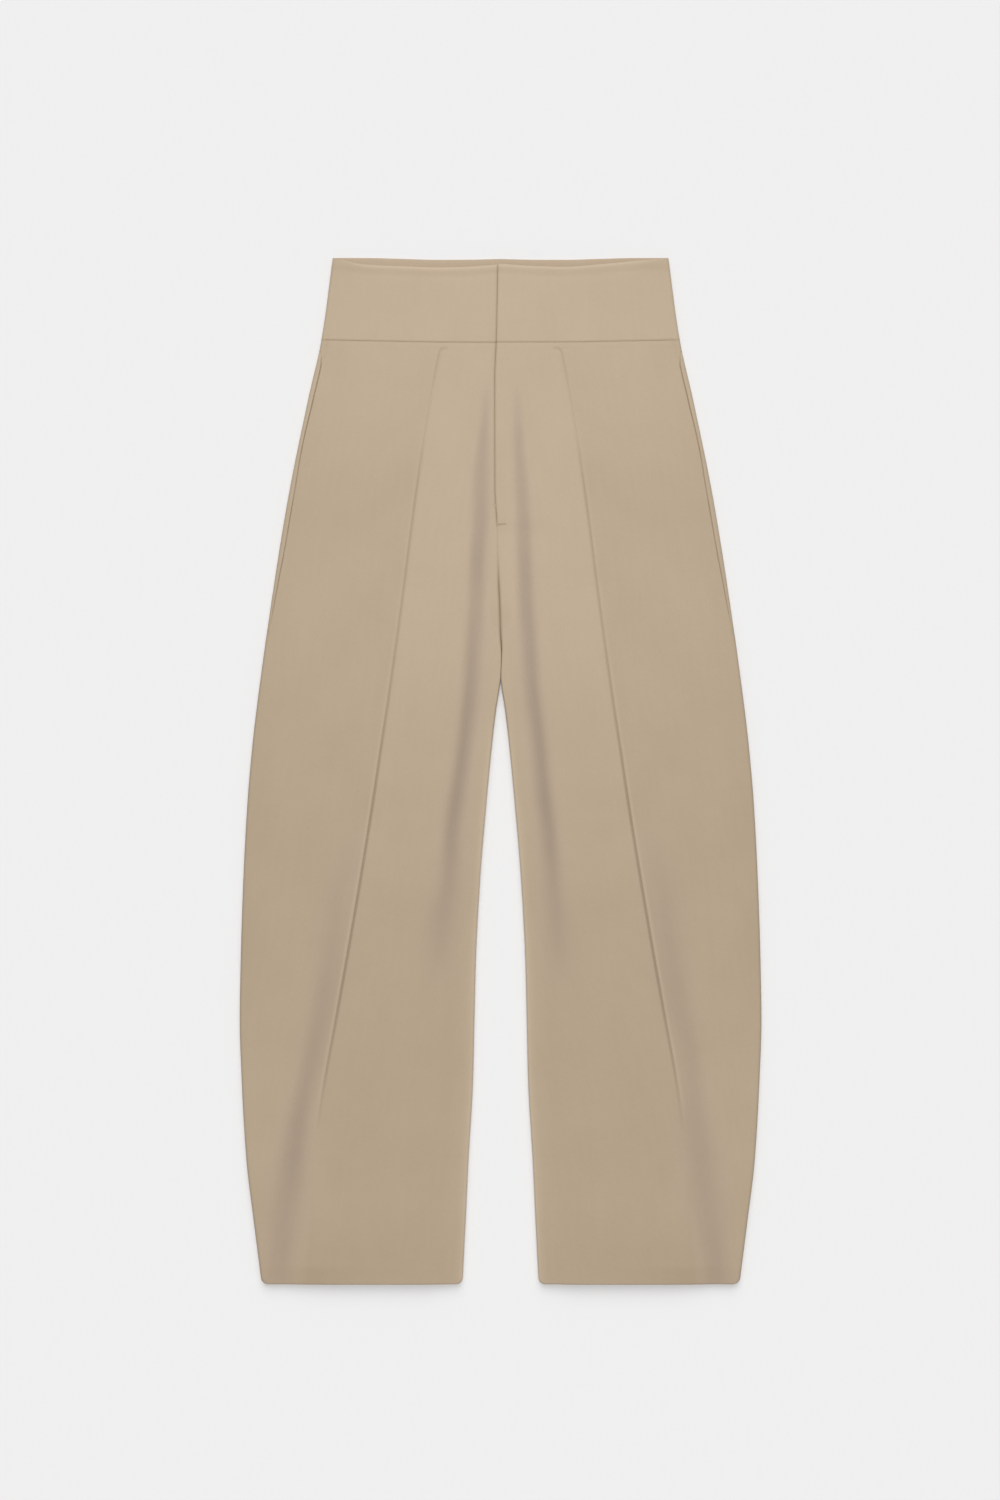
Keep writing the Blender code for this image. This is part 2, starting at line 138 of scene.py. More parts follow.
tone, nodes, given, made = new_group(
    "cloth_tone",
    [
        ("Place", VECTOR),
        ("Colour", COLOUR),
        ("Light Yarn", COLOUR),
        ("Crease", FLOAT),
        ("Tone", FLOAT),
        ("Thread", FLOAT),
        ("Height", FLOAT),
    ],
    [("Colour", COLOUR), ("Roughness", FLOAT)],
)
yarn = nodes.ramp(given["Thread"], 0.35, 0.7, 0.0, 0.30)
colour = nodes.colours(yarn, given["Colour"], given["Light Yarn"])
clouds = nodes.ramp(nodes.noise(given["Place"], DYE_CLOUDS, 3.0), 0.3, 0.7, 0.0, 1.0)
colour = nodes.colours(clouds, colour, CLOUD_TINT, "MULTIPLY")
long_yarn = nodes.add("ShaderNodeVectorMath", "MULTIPLY", i0=given["Place"], i1=LONG_YARNS)
slubs = nodes.ramp(nodes.noise(long_yarn.outputs[0], 1.0, 3.0, 0.6), 0.35, 0.65, 0.0, 1.0)
colour = nodes.colours(slubs, colour, SLUB_TINT, "MULTIPLY")
# Painted shade and highlights from the tone attribute, and painted shade in creases, a little bluer.
colour = nodes.colours(given["Tone"], colour, SHADE_TINT, "MULTIPLY")
colour = nodes.colours(given["Crease"], colour, CREASE_TINT, "MULTIPLY")
crease_blue = nodes.math("POWER", given["Crease"], CREASE_BLUE_SPREAD)
colour = nodes.colours(crease_blue, colour, CREASE_BLUE_TINT, "MULTIPLY")
between = nodes.ramp(given["Height"], 0.0, 0.45, 0.20, 0.0)
colour = nodes.colours(between, colour, YARN_GAP_TINT, "MULTIPLY")
nodes.put(made["Colour"], colour)
patches = nodes.noise(given["Place"], WORN_PATCHES, 2.0)
nodes.put(made["Roughness"], nodes.ramp(patches, 0.3, 0.7, 0.78, 0.9))

YARN_RELIEF = 0.00012


def woven(name, colour, light_yarn, pitch, twill, sheen, bump):
    """A cloth material on the piece's cut, in metres, and its crease and tone attributes of painted
    shade.
    """
    material = bpy.data.materials.new(name)
    material.use_nodes = True
    nodes = Nodes(material.node_tree)
    shader = material.node_tree.nodes["Principled BSDF"]
    cut = nodes.add("ShaderNodeUVMap")
    cut.uv_map = "cut"
    crease = nodes.add("ShaderNodeAttribute")
    crease.attribute_name = "crease"
    depth = nodes.add("ShaderNodeAttribute")
    depth.attribute_name = "tone"
    pattern = nodes.add("ShaderNodeGroup")
    pattern.node_tree = weave
    for label, value in (("Place", cut.outputs[0]), ("Pitch", pitch), ("Twill", twill)):
        nodes.put(pattern.inputs[label], value)
    tones = nodes.add("ShaderNodeGroup")
    tones.node_tree = tone
    for label, value in (
        ("Place", cut.outputs[0]),
        ("Colour", colour),
        ("Light Yarn", light_yarn),
        ("Crease", crease.outputs["Fac"]),
        ("Tone", depth.outputs["Fac"]),
        ("Thread", pattern.outputs["Thread"]),
        ("Height", pattern.outputs["Height"]),
    ):
        nodes.put(tones.inputs[label], value)
    nodes.put(shader.inputs["Base Color"], tones.outputs["Colour"])
    nodes.put(shader.inputs["Roughness"], tones.outputs["Roughness"])
    relief = nodes.add("ShaderNodeBump", Strength=bump, Distance=YARN_RELIEF)
    nodes.put(relief.inputs["Height"], pattern.outputs["Height"])
    nodes.put(shader.inputs["Normal"], relief.outputs[0])
    shader.inputs["Sheen Weight"].default_value = sheen
    shader.inputs["Sheen Roughness"].default_value = 0.5
    shader.inputs["Specular IOR Level"].default_value = 0.25
    return material


suiting = woven(
    "suiting",
    colour=(0.558, 0.446, 0.324, 1.0),
    light_yarn=(0.650, 0.535, 0.405, 1.0),
    pitch=0.00052,
    twill=0.6,
    sheen=0.10,
    bump=0.75,
)

# Fronts of the legs
# Each front is one panel of suiting that rolls over the back at its edges and arches over it.
# A single long dart runs from under the waistband towards the hem and gives the leg its curve;
# its allowance is pressed to the outer side. The left front laps over the right one at the fly.

LENGTH = 1.0573
WAIST_SEAM = 0.0875
WAIST_SEAM_RISE = 0.0030
SEAM_CURVE_END = 0.1675
FLY_END = 0.2735
CROTCH = 0.3590
DART_TOP = 0.0960
LEG_START = 0.3520
LEG_RUN = 0.060
LEGS_MEET = 0.3450
LEGS_PART = 0.4280

CLOTH = 0.0012
SEAM_GAP = 0.0003
LAP_GAP = 0.00035
PANEL_LIP = 0.0010
EDGE_ROLL = 0.0063
ROLL_TOP = CLOTH + SEAM_GAP + PANEL_LIP + EDGE_ROLL
SWELL = 0.070
INSEAM_SWELL = 0.035
INSEAM_ROLL_TIGHT = 0.0012
INSEAM_ROLL_LOOSE = 0.0040
FOLD_START = 0.020
CORNER = 0.006


def table(columns, *rows):
    """Rows of numbers, with a name for each column. The first column says where a row stands."""
    row = namedtuple("Row", columns)
    return tuple(row(*numbers) for numbers in rows)


# Half widths from the centre line to the side, the inseam and the dart, and the front's height.
SECTIONS = table(
    "down side inseam dart loft",
    (0.0000, 0.1730, 0.0000, 0.0470, 0.0112),
    (0.0870, 0.1847, 0.0000, 0.0612, 0.0114),
    (0.1470, 0.1988, 0.0000, 0.0723, 0.0118),
    (0.2500, 0.2197, 0.0000, 0.0881, 0.0124),
    (0.3590, 0.2371, 0.0000, 0.1022, 0.0136),
    (0.4330, 0.2474, 0.0000, 0.1124, 0.0141),
    (0.4420, 0.2486, 0.0009, 0.1137, 0.0142),
    (0.4660, 0.2517, 0.0045, 0.1172, 0.0144),
    (0.4970, 0.2553, 0.0082, 0.1220, 0.0146),
    (0.5590, 0.2608, 0.0142, 0.1313, 0.0148),
    (0.6410, 0.2652, 0.0210, 0.1445, 0.0150),
    (0.7240, 0.2679, 0.0254, 0.1588, 0.0150),
    (0.7850, 0.2689, 0.0269, 0.1697, 0.0148),
    (0.8470, 0.2669, 0.0283, 0.1808, 0.0144),
    (0.9300, 0.2620, 0.0330, 0.1927, 0.0136),
    (0.9900, 0.2548, 0.0358, 0.1975, 0.0130),
    (1.0573, 0.2463, 0.0392, 0.2040, 0.0122),
)
CENTRE_LINE = table(
    "down x",
    (0.0000, -0.0026),
    (0.0870, -0.0042),
    (0.1270, -0.0058),
    (0.2350, -0.0056),
    (0.2735, -0.0036),
    (0.3300, -0.0022),
    (0.3600, -0.0009),
    (0.3850, -0.0002),
    (0.4050, 0.0010),
    (0.4420, 0.0000),
    (1.0573, 0.0000),
)


def soft_crease(*rows):
    """A soft crease by row: where it lies, its depth, its width and the grey of its painted shade.
    """
    return table("down x depth width grey", *rows)


# The fronts' creases.
CREASES = (
    soft_crease(
        (0.1330, 0.0165, 0.0000, 0.0045, 0.00),
        (0.1500, 0.0172, 0.0008, 0.0045, 0.25),
        (0.1880, 0.0184, 0.0016, 0.0050, 0.65),
        (0.2700, 0.0232, 0.0030, 0.0065, 0.75),
        (0.3300, 0.0252, 0.0036, 0.0070, 0.95),
        (0.4350, 0.0306, 0.0040, 0.0080, 0.95),
        (0.5180, 0.0400, 0.0042, 0.0080, 1.00),
        (0.5580, 0.0436, 0.0040, 0.0085, 1.00),
        (0.6000, 0.0490, 0.0034, 0.0090, 0.90),
        (0.6500, 0.0535, 0.0024, 0.0105, 0.60),
        (0.7000, 0.0580, 0.0014, 0.0125, 0.40),
        (0.7550, 0.0628, 0.0000, 0.0140, 0.00),
    ),
    soft_crease(
        (0.1300, -0.0135, 0.0000, 0.0040, 0.00),
        (0.1480, -0.0148, 0.0008, 0.0040, 0.30),
        (0.1880, -0.0176, 0.0018, 0.0050, 0.70),
        (0.2290, -0.0200, 0.0026, 0.0075, 0.70),
        (0.2700, -0.0207, 0.0032, 0.0075, 0.85),
        (0.3110, -0.0236, 0.0036, 0.0070, 0.95),
        (0.3530, -0.0248, 0.0038, 0.0070, 0.80),
        (0.4350, -0.0289, 0.0042, 0.0080, 0.95),
        (0.5180, -0.0380, 0.0042, 0.0080, 1.00),
        (0.5590, -0.0442, 0.0040, 0.0085, 1.00),
        (0.6000, -0.0495, 0.0034, 0.0090, 0.90),
        (0.6410, -0.0520, 0.0026, 0.0115, 0.65),
        (0.6820, -0.0598, 0.0018, 0.0140, 0.50),
        (0.7550, -0.0665, 0.0000, 0.0120, 0.00),
    ),
    soft_crease(
        (0.5900, 0.1500, 0.0000, 0.0100, 0.00),
        (0.6410, 0.1640, 0.0008, 0.0160, 0.25),
        (0.6820, 0.1690, 0.0016, 0.0150, 0.35),
        (0.7650, 0.1815, 0.0024, 0.0130, 0.45),
        (0.8470, 0.1975, 0.0026, 0.0105, 0.42),
        (0.8880, 0.2000, 0.0028, 0.0140, 0.50),
        (0.9300, 0.2060, 0.0030, 0.0170, 0.55),
        (0.9710, 0.2110, 0.0028, 0.0170, 0.55),
        (1.0120, 0.2180, 0.0024, 0.0140, 0.55),
        (1.0573, 0.2240, 0.0014, 0.0130, 0.50),
    ),
    soft_crease(
        (0.5900, -0.1480, 0.0000, 0.0100, 0.00),
        (0.6410, -0.1620, 0.0008, 0.0140, 0.20),
        (0.6820, -0.1700, 0.0014, 0.0140, 0.28),
        (0.7240, -0.1745, 0.0020, 0.0130, 0.40),
        (0.8060, -0.1890, 0.0030, 0.0105, 0.62),
        (0.8470, -0.1985, 0.0032, 0.0100, 0.68),
        (0.8880, -0.2080, 0.0034, 0.0110, 0.78),
        (0.9300, -0.2143, 0.0034, 0.0130, 0.80),
        (0.9710, -0.2195, 0.0028, 0.0150, 0.65),
        (1.0120, -0.2250, 0.0020, 0.0140, 0.55),
        (1.0573, -0.2310, 0.0010, 0.0130, 0.40),
    ),
)

# Painted shade, deeper where the light falls off towards the hem, inside the darts and outside them.
PAINTED_SHADES = table(
    "down inner outer",
    (0.000, 0.15, 0.16),
    (0.044, 0.15, 0.17),
    (0.147, 0.17, 0.22),
    (0.250, 0.205, 0.315),
    (0.353, 0.21, 0.32),
    (0.456, 0.28, 0.37),
    (0.559, 0.345, 0.415),
    (0.662, 0.405, 0.425),
    (0.765, 0.435, 0.435),
    (0.868, 0.445, 0.405),
    (0.971, 0.46, 0.43),
    (1.033, 0.495, 0.43),
)

# How strongly the dart's line is drawn down the leg: its groove's depth and its painted shade.
DART_LINE = table(
    "down strength",
    (0.0940, 0.00),
    (0.1000, 0.35),
    (0.1470, 0.15),
    (0.1650, 0.15),
    (0.2500, 0.50),
    (0.3300, 0.45),
    (0.4150, 0.55),
    (0.5000, 0.80),
    (0.5800, 1.00),
    (0.7440, 0.97),
    (0.8270, 0.60),
    (0.8780, 0.22),
    (0.9040, 0.00),
)

# How dark the painted shade in the seam between the legs is, from the fly's end to where they part.
CENTRE_SEAM = table(
    "down strength",
    (0.2760, 0.00),
    (0.3013, 0.08),
    (0.3220, 0.36),
    (0.3425, 0.76),
    (0.3630, 0.72),
    (0.3837, 0.50),
    (0.4040, 0.22),
    (0.4200, 0.00),
)

# How far the front's edge stands back along the cloth at the side pocket, and how dark its painted
# shade is.
POCKET_EDGE = table(
    "down opened line",
    (0.0940, 0.0000, -0.22),
    (0.1000, 0.0070, -0.22),
    (0.1060, 0.0098, -0.15),
    (0.1130, 0.0109, 0.00),
    (0.1264, 0.0113, 0.08),
    (0.1572, 0.0109, 0.20),
    (0.1881, 0.01056, 0.10),
    (0.2190, 0.01082, -0.14),
    (0.2498, 0.0114, -0.23),
    (0.2807, 0.0114, -0.25),
    (0.3116, 0.0109, -0.16),
    (0.3425, 0.0102, -0.02),
    (0.3733, 0.0088, 0.10),
    (0.3820, 0.0073, 0.05),
    (0.3900, 0.0000, 0.00),
)


def smooth(x):
    """0 up to 0 and 1 from 1, with an even curve between."""
    x = min(1.0, max(0.0, x))
    return x * x * (3 - 2 * x)


def mix(a, b, share):
    return a + (b - a) * share


def even(first, last, count):
    return [mix(first, last, k / count) for k in range(count + 1)]


@lru_cache(maxsize=None)
def read(rows, column, at):
    """The value of a table's column, smoothly between its rows and never past them."""
    xs = [row[0] for row in rows]
    ys = [getattr(row, column) for row in rows]
    if at <= xs[0]:
        return ys[0]
    if at >= xs[-1]:
        return ys[-1]
    i = max(k for k in range(len(xs) - 1) if xs[k] <= at)

    def step(k):
        return (ys[k + 1] - ys[k]) / (xs[k + 1] - xs[k])

    def slope(k):
        if k == 0:
            return step(0)
        if k == len(xs) - 1:
            return step(k - 1)
        before, after = step(k - 1), step(k)
        return 2 * before * after / (before + after) if before * after > 0 else 0.0

    width = xs[i + 1] - xs[i]
    t = (at - xs[i]) / width
    return (
        (1 + 2 * t) * (1 - t) ** 2 * ys[i]
        + t * (1 - t) ** 2 * width * slope(i)
        + t * t * (3 - 2 * t) * ys[i + 1]
        + t * t * (t - 1) * width * slope(i + 1)
    )


@lru_cache(maxsize=None)
def corner_cut(down):
    """How much the hem's rounded corner takes off the width at this distance down."""
    left = LENGTH - down
    if left >= CORNER:
        return 0.0
    return CORNER - math.sqrt(CORNER**2 - (CORNER - left) ** 2)


@lru_cache(maxsize=None)
def side_x(down):
    return read(SECTIONS, "side", down) - corner_cut(down)


def inseam_x(side, down, centre):
    """The signed place of a panel's inner edge, on the left (side 1) or the right (side -1)."""
    return centre + side * (read(SECTIONS, "inseam", down) + SEAM_GAP / 2 + corner_cut(down))


def seam_drop(across):
    """How far the waist seam lies below its lowest point: negative towards the sides."""
    return -WAIST_SEAM_RISE * (across / side_x(WAIST_SEAM)) ** 2


def y_at(down):
    return LENGTH / 2 - down


def panel_y(down, x):
    """y on a leg panel, whose top rows follow the curve of the waist seam."""
    share = 1 - smooth((down - WAIST_SEAM) / (SEAM_CURVE_END - WAIST_SEAM))
    return y_at(down + seam_drop(x) * share)


def leg_share(down):
    """0 above the crotch, where the front runs on to the other side, and 1 down the leg."""
    return smooth((down - LEG_START) / LEG_RUN)


def inner_reach(down):
    """How far in an inseam's roll reaches: tight at the crotch, and looser down the leg."""
    return mix(INSEAM_ROLL_TIGHT, INSEAM_ROLL_LOOSE, smooth((down - CROTCH) / 0.20))


creases_on = {"front": CREASES}


@lru_cache(maxsize=None)
def creases_at(down, face):
    """(centre, half width, depth, grey) of each crease that crosses this row."""
    return [
        tuple(read(rows, column, down) for column in ("x", "width", "depth", "grey"))
        for rows in creases_on[face]
        if rows[0].down < down <= rows[-1].down
    ]


CREASE_SHADE_WIDTH = 0.95


def painted_crease_shade(x, down, face="front"):
    """How strong the painted shade in the creases is here, from 0 to 1."""
    greys = (
        grey * math.exp(-(((x - centre) / (CREASE_SHADE_WIDTH * width)) ** 2))
        for centre, width, _, grey in creases_at(down, face)
    )
    return min(1.0, sum(greys))


def crease_depth(x, down, face="front"):
    """How deep the creases are here. Ridges beside them count below 0."""
    return sum(
        depth * math.exp(-(((x - centre) / width) ** 2))
        for centre, width, depth, _ in creases_at(down, face)
    )


# The slight unevenness of cloth that lies loose: its height, and how closely it varies.
Wave = namedtuple("Wave", "height across along layer")
WAVES = (Wave(0.0005, 11, 6, 3.1), Wave(0.00018, 34, 17, 7.7))


def front_height(x, down):
    """Height of the fronts above the surface, away from their rolled edges."""
    outer = side_x(down) - abs(x)
    inner = abs(x) - read(SECTIONS, "inseam", down)
    rise = smooth((outer - EDGE_ROLL) / SWELL)
    rise *= mix(1.0, smooth((inner - EDGE_ROLL) / INSEAM_SWELL), leg_share(down))
    height = mix(ROLL_TOP, read(SECTIONS, "loft", down), rise)
    waves = sum(
        wave.height * noise.noise(Vector((x * wave.across, down * wave.along, wave.layer)))
        for wave in WAVES
    )
    folds = crease_depth(x, down) * smooth((outer - EDGE_ROLL) / FOLD_START)
    return height - folds + waves * rise


ROLL_SQUARENESS = 3.2


def rolled_edge(t, lip=PANEL_LIP, reach=EDGE_ROLL):
    """(inset, height) of a front's edge, t along the cloth from the seam."""
    if t < lip:
        return 0.0, ROLL_TOP - EDGE_ROLL - lip + t
    angle = min((t - lip) / EDGE_ROLL, math.pi / 2)
    rest = max(0.0, t - lip - EDGE_ROLL * math.pi / 2)
    out = max(0.0, math.cos(angle)) ** (2 / ROLL_SQUARENESS)
    up = math.sin(angle) ** (2 / ROLL_SQUARENESS)
    return reach * (1 - out) + rest, ROLL_TOP - EDGE_ROLL * (1 - up)


def roll_steps(lip=PANEL_LIP, count=9):
    """Stations along the cloth of a rolled edge, from the seam to where it is level."""
    turn = EDGE_ROLL * math.pi / 2 / count
    return [0.0, lip] + [lip + turn * (k + 1) for k in range(count)]


HEM_TURN = 0.030
HEM_RADIUS = CLOTH + 0.00015
HEM_CORNER = 1.2

# A row in the hem's turn: its place, how far it reaches past it, and how much deeper it lies.
Turn = namedtuple("Turn", "down reach depth")


def hem_rows():
    """The rows round the hem's fold, reaching past their place down, and up the turned-in part."""
    start = LENGTH - HEM_RADIUS
    fold = [
        Turn(start, HEM_RADIUS * math.sin(angle), HEM_RADIUS * (1 - math.cos(angle)))
        for angle in even(0.0, math.pi, 10)
    ]
    turned_in = (0.0015, *even(0.003, HEM_TURN, 8))
    return fold + [Turn(start - up, 0.0, 2 * HEM_RADIUS) for up in turned_in]


def laid_row(row, columns, point, faces_up, tuck):
    """The points of one row. In the hem's turn it lies deeper, and its ends stand in by tuck."""
    if not isinstance(row, Turn):
        return [Vector(point(row, column)) for column in columns]
    line = [Vector(point(row.down, column)) for column in columns]
    middle = (line[0].x + line[-1].x) / 2
    stands_in = tuck * row.depth / (2 * HEM_RADIUS) + HEM_CORNER * row.reach
    narrower = 1 - stands_in / abs(line[-1].x - middle)
    for place in line:
        above_lip = (place.z - CLOTH - SEAM_GAP) / (EDGE_ROLL + PANEL_LIP)
        place.z -= row.depth * (min(1.0, above_lip) if faces_up else -1.0)
        place.x = mix(middle, place.x, narrower)
        place.y -= row.reach
    return line


def lay_cloth(
    name, rows, columns, point, wall, material, faces_up, shades=None, tuck=2 * HEM_RADIUS
):
    """A sheet of cloth on a grid whose points are laid one by one, given a wall with soft edges.

    Its UV map is its cut: metres across from the middle column, and metres along.
    """
    grid = bmesh.new()
    across, along = len(columns) - 1, len(rows) - 1
    bmesh.ops.create_grid(grid, x_segments=across, y_segments=along, size=0.5)
    uvs = grid.loops.layers.uv.new("cut")
    # The crease and tone attributes hold the painted shade and painted highlights that shades gives.
    if shades:
        crease, tone = (grid.verts.layers.float.new(shade) for shade in ("crease", "tone"))
    laid = {}
    lines = [laid_row(row, columns, point, faces_up, tuck) for row in rows]
    for vertex in grid.verts:
        i, j = round((vertex.co.x + 0.5) * across), round((0.5 - vertex.co.y) * along)
        vertex.co = lines[j][i]
        laid[i, j] = vertex
    cut = {}
    length = 0.0
    for j in range(along + 1):
        if j:
            length += (laid[across // 2, j].co - laid[across // 2, j - 1].co).length
        widths = [0.0]
        for i in range(1, across + 1):
            widths.append(widths[-1] + (laid[i, j].co - laid[i - 1, j].co).length)
        for i in range(across + 1):
            cut[laid[i, j]] = (widths[i] - widths[across // 2], -length)
    for face in grid.faces:
        for loop in face.loops:
            loop[uvs].uv = cut[loop.vert]
    if shades:
        for (i, j), vertex in laid.items():
            down = rows[j].down if isinstance(rows[j], Turn) else rows[j]
            vertex[crease], vertex[tone] = shades(down, columns[i], vertex.co.x)
    grid.normal_update()
    if (sum(face.normal.z * face.calc_area() for face in grid.faces) > 0) != faces_up:
        bmesh.ops.reverse_faces(grid, faces=grid.faces)
    return finish_cloth(name, grid, wall, material)


EDGE_SOFTNESS = 0.28


def finish_cloth(name, grid, wall, material):
    """Gives a laid sheet its thickness and soft edges, applied, and lets it ride."""
    mesh = bpy.data.meshes.new(name)
    grid.to_mesh(mesh)
    grid.free()
    mesh.materials.append(material)
    mesh.shade_smooth()
    piece = bpy.data.objects.new(name, mesh)
    bpy.context.scene.collection.objects.link(piece)
    thickness = piece.modifiers.new("wall", "SOLIDIFY")
    thickness.thickness = wall
    thickness.offset = -1.0
    thickness.use_even_offset = True
    thickness.use_quality_normals = True
    edge = piece.modifiers.new("soft_edge", "BEVEL")
    edge.width = wall * EDGE_SOFTNESS
    edge.segments = 2
    edge.limit_method = "ANGLE"
    edge.angle_limit = math.radians(60)
    finished = piece.evaluated_get(bpy.context.evaluated_depsgraph_get())
    made = bpy.data.meshes.new_from_object(finished)
    piece.modifiers.clear()
    piece.data = made
    made.name = name
    made.set_sharp_from_angle(angle=math.radians(50))
    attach(piece, "root")
    return piece


DART_STATIONS = (0.0, 0.0005, 0.0010, 0.0016, 0.0023, 0.0031, 0.0042, 0.0056, 0.0080)
FLY_UNDER = 0.006
POCKET_TOP = 0.0940
POCKET_BOTTOM = 0.3900
FLY_LAP_WIDTH = 0.036
FLY_LAP_FADE = 0.028
FLY_LAP_RUN = 0.022
FLY_LAP_END = FLY_END - 0.008
BAND_LIFT = 0.0018 + 0.0011
PANEL_LIFT = CLOTH + LAP_GAP
DART_INWARD = 0.0005
GROOVE_LEAST = 0.0003
GROOVE_MORE = 0.0013
GROOVE_WIDTH = 0.0010
ALLOWANCE_HEIGHT = 0.0005
ALLOWANCE_OFFSET = 0.0040
ALLOWANCE_WIDTH = 0.0028
HOOK_DEPTH = 0.0005
CLOSED_GAP = 0.00011
SEAM_TURN = 0.00045
SEAM_TURN_WIDTH = 0.0010


def dip(offset, width):
    """1 where offset is 0, fading to nothing over about twice the width."""
    return math.exp(-((offset / width) ** 2))


@lru_cache(maxsize=None)
def dart_at(down):
    return read(SECTIONS, "dart", down) - DART_INWARD


def dart_relief(offset, down):
    """The dart's narrow groove and, on its outer side, the low ridge of its allowance."""
    drawn = read(DART_LINE, "strength", down)
    groove = (GROOVE_LEAST * smooth(drawn * 8) + GROOVE_MORE * drawn) * dip(offset, GROOVE_WIDTH)
    if offset <= 0:
        return -groove
    ridge = ALLOWANCE_HEIGHT * smooth(drawn * 3) * dip(offset - ALLOWANCE_OFFSET, ALLOWANCE_WIDTH)
    return ridge - groove


def dart_hook(x, down):
    """The dimple where the dart starts, turned in towards the fly: 0 to 1."""
    inward = dart_at(DART_TOP) - abs(x)
    if not -0.004 < inward < 0.014 or not 0.086 < down < 0.104:
        return 0.0
    line = DART_TOP - 0.0022 * smooth(inward / 0.004) + 0.0010 * smooth((inward - 0.006) / 0.005)
    ends = smooth((inward + 0.001) / 0.002) * (1 - smooth((inward - 0.005) / 0.005))
    return ends * dip(down - line, 0.0012)


def pocket_share(down):
    """1 where the pocket is open and the front's edge stands back, 0 above and below it."""
    return smooth(read(POCKET_EDGE, "opened", down) / 0.0070)


def lap_lift(x, down, lift, end):
    """How much the left side is raised where it laps over the right one."""
    beside = x - read(CENTRE_LINE, "x", down)
    along = 1 - smooth((down - end) / FLY_LAP_RUN)
    return lift * along * (1 - smooth((beside - FLY_LAP_WIDTH) / FLY_LAP_FADE))


def together(down):
    """1 down to where the legs part, and 0 below it."""
    return 1 - smooth((down - LEGS_PART) / 0.014)


def touching(down):
    """1 just below the crotch, where the two legs lie against each other."""
    return smooth((down - LEGS_MEET) / 0.020) * together(down)


def front_inner_x(side, down):
    """The signed place of the front's inner edge. The right front runs on under the left's fly."""
    edge = inseam_x(side, down, read(CENTRE_LINE, "x", down))
    edge -= side * CLOSED_GAP * together(down)
    if side > 0:
        return edge
    return edge + FLY_UNDER * (1 - smooth((down - (FLY_END - 0.024)) / 0.008))


# Fine pull of the cloth beside the waist seam: how high, how close its waves are and how far apart
# they drift, how fast it fades away from the seam, and where it ends.
Pucker = namedtuple("Pucker", "height waves drift drift_waves run end")
FRONT_PUCKER = Pucker(0.00016, 210, 2.0, 47, 0.006, 0.02)
BAND_PUCKER = Pucker(0.00014, 190, 1.7, 53, 0.005, WAIST_SEAM)


def seam_pucker(x, away, pucker):
    """How far the cloth stands up beside the waist seam. Its edge turns down into the seam."""
    if away > pucker.end:
        return 0.0
    wave = math.sin(x * pucker.waves + pucker.drift * math.sin(x * pucker.drift_waves))
    pulled = pucker.height * wave * math.exp(-away / pucker.run)
    return pulled - SEAM_TURN * dip(away, SEAM_TURN_WIDTH)


def front_top(x, down):
    """Height of a front with the pull of its waist seam."""
    return front_height(x, down) + seam_pucker(x, down - WAIST_SEAM, FRONT_PUCKER)


def front_point(side, down, column):
    """A point of a front's outer face."""
    zone, value = column
    inner_x = front_inner_x(side, down)
    opened = read(POCKET_EDGE, "opened", down)
    dart_x = side * dart_at(down)
    if zone == "inseam":
        inset, height = rolled_edge(value, PANEL_LIP, inner_reach(down))
        height = mix(height, ROLL_TOP, 0.55 * touching(down))
        x = inner_x + side * mix(value, inset, leg_share(down))
        z = mix(front_top(x, down), height, leg_share(down))
    elif zone == "side":
        inset, z = rolled_edge(value + opened)
        x = side * (side_x(down) - inset)
        if inset > EDGE_ROLL:
            z += front_height(x, down) - ROLL_TOP
    else:
        level = PANEL_LIP + EDGE_ROLL * math.pi / 2
        first_x = inner_x + side * mix(level, inner_reach(down), leg_share(down))
        last_x = side * (side_x(down) - rolled_edge(level + opened)[0])
        reach = DART_STATIONS[-1]
        if zone == "inner":
            x = mix(first_x, dart_x - side * reach, value)
        elif zone == "outer":
            x = mix(dart_x + side * reach, last_x, value)
        else:
            x = dart_x + side * value
        z = front_top(x, down) - HOOK_DEPTH * dart_hook(x, down)
        z += dart_relief(side * (x - dart_x), down)
    if side > 0:
        at_band = 1 - smooth((down - WAIST_SEAM) / 0.050)
        z += lap_lift(x, down, mix(PANEL_LIFT, BAND_LIFT, at_band), FLY_LAP_END)
    return x, panel_y(down, x), z


# Soft lines of painted shade (below 0, painted highlight): how strong, how far from their edge and
# how wide.
Shade = namedtuple("Shade", "strength at width")
DART_SHADE = Shade(0.22, 0.0, 0.0010)
DART_LIGHT = Shade(-0.14, 0.0030, 0.0013)
SIDE_SEAM_SHADE = Shade(0.22, 0.0, 0.0012)
POCKET_START_SHADE = Shade(0.10, 0.0066, 0.0012)
CALF_LIGHT = Shade(-0.04, 0.186, 0.010)
HEM_SHADE = Shade(0.08, 0.190, 0.050)
WAIST_SEAM_SHADE = Shade(0.26, 0.0, 0.0009)
WAIST_ALLOWANCE_SHADE = Shade(0.03, 0.0058, 0.0007)
FLY_SHADE = {1: Shade(0.30, 0.0, 0.0009), -1: Shade(0.52, 0.0, 0.0013)}
INSEAM_LIGHT = Shade(-0.10, 0.0010, 0.0045)
INSEAM_EDGE_LIGHT = Shade(-0.30, 0.0, 0.0024)
BELOW_FLY_LIGHT = Shade(-0.06, 0.010, 0.010)
CENTRE_SEAM_WIDTH = 0.0014
HOOK_SHADE = 0.20


def shade_line(shade, offset):
    """The shade of a line at this offset from its edge."""
    return shade.strength * dip(offset - shade.at, shade.width)


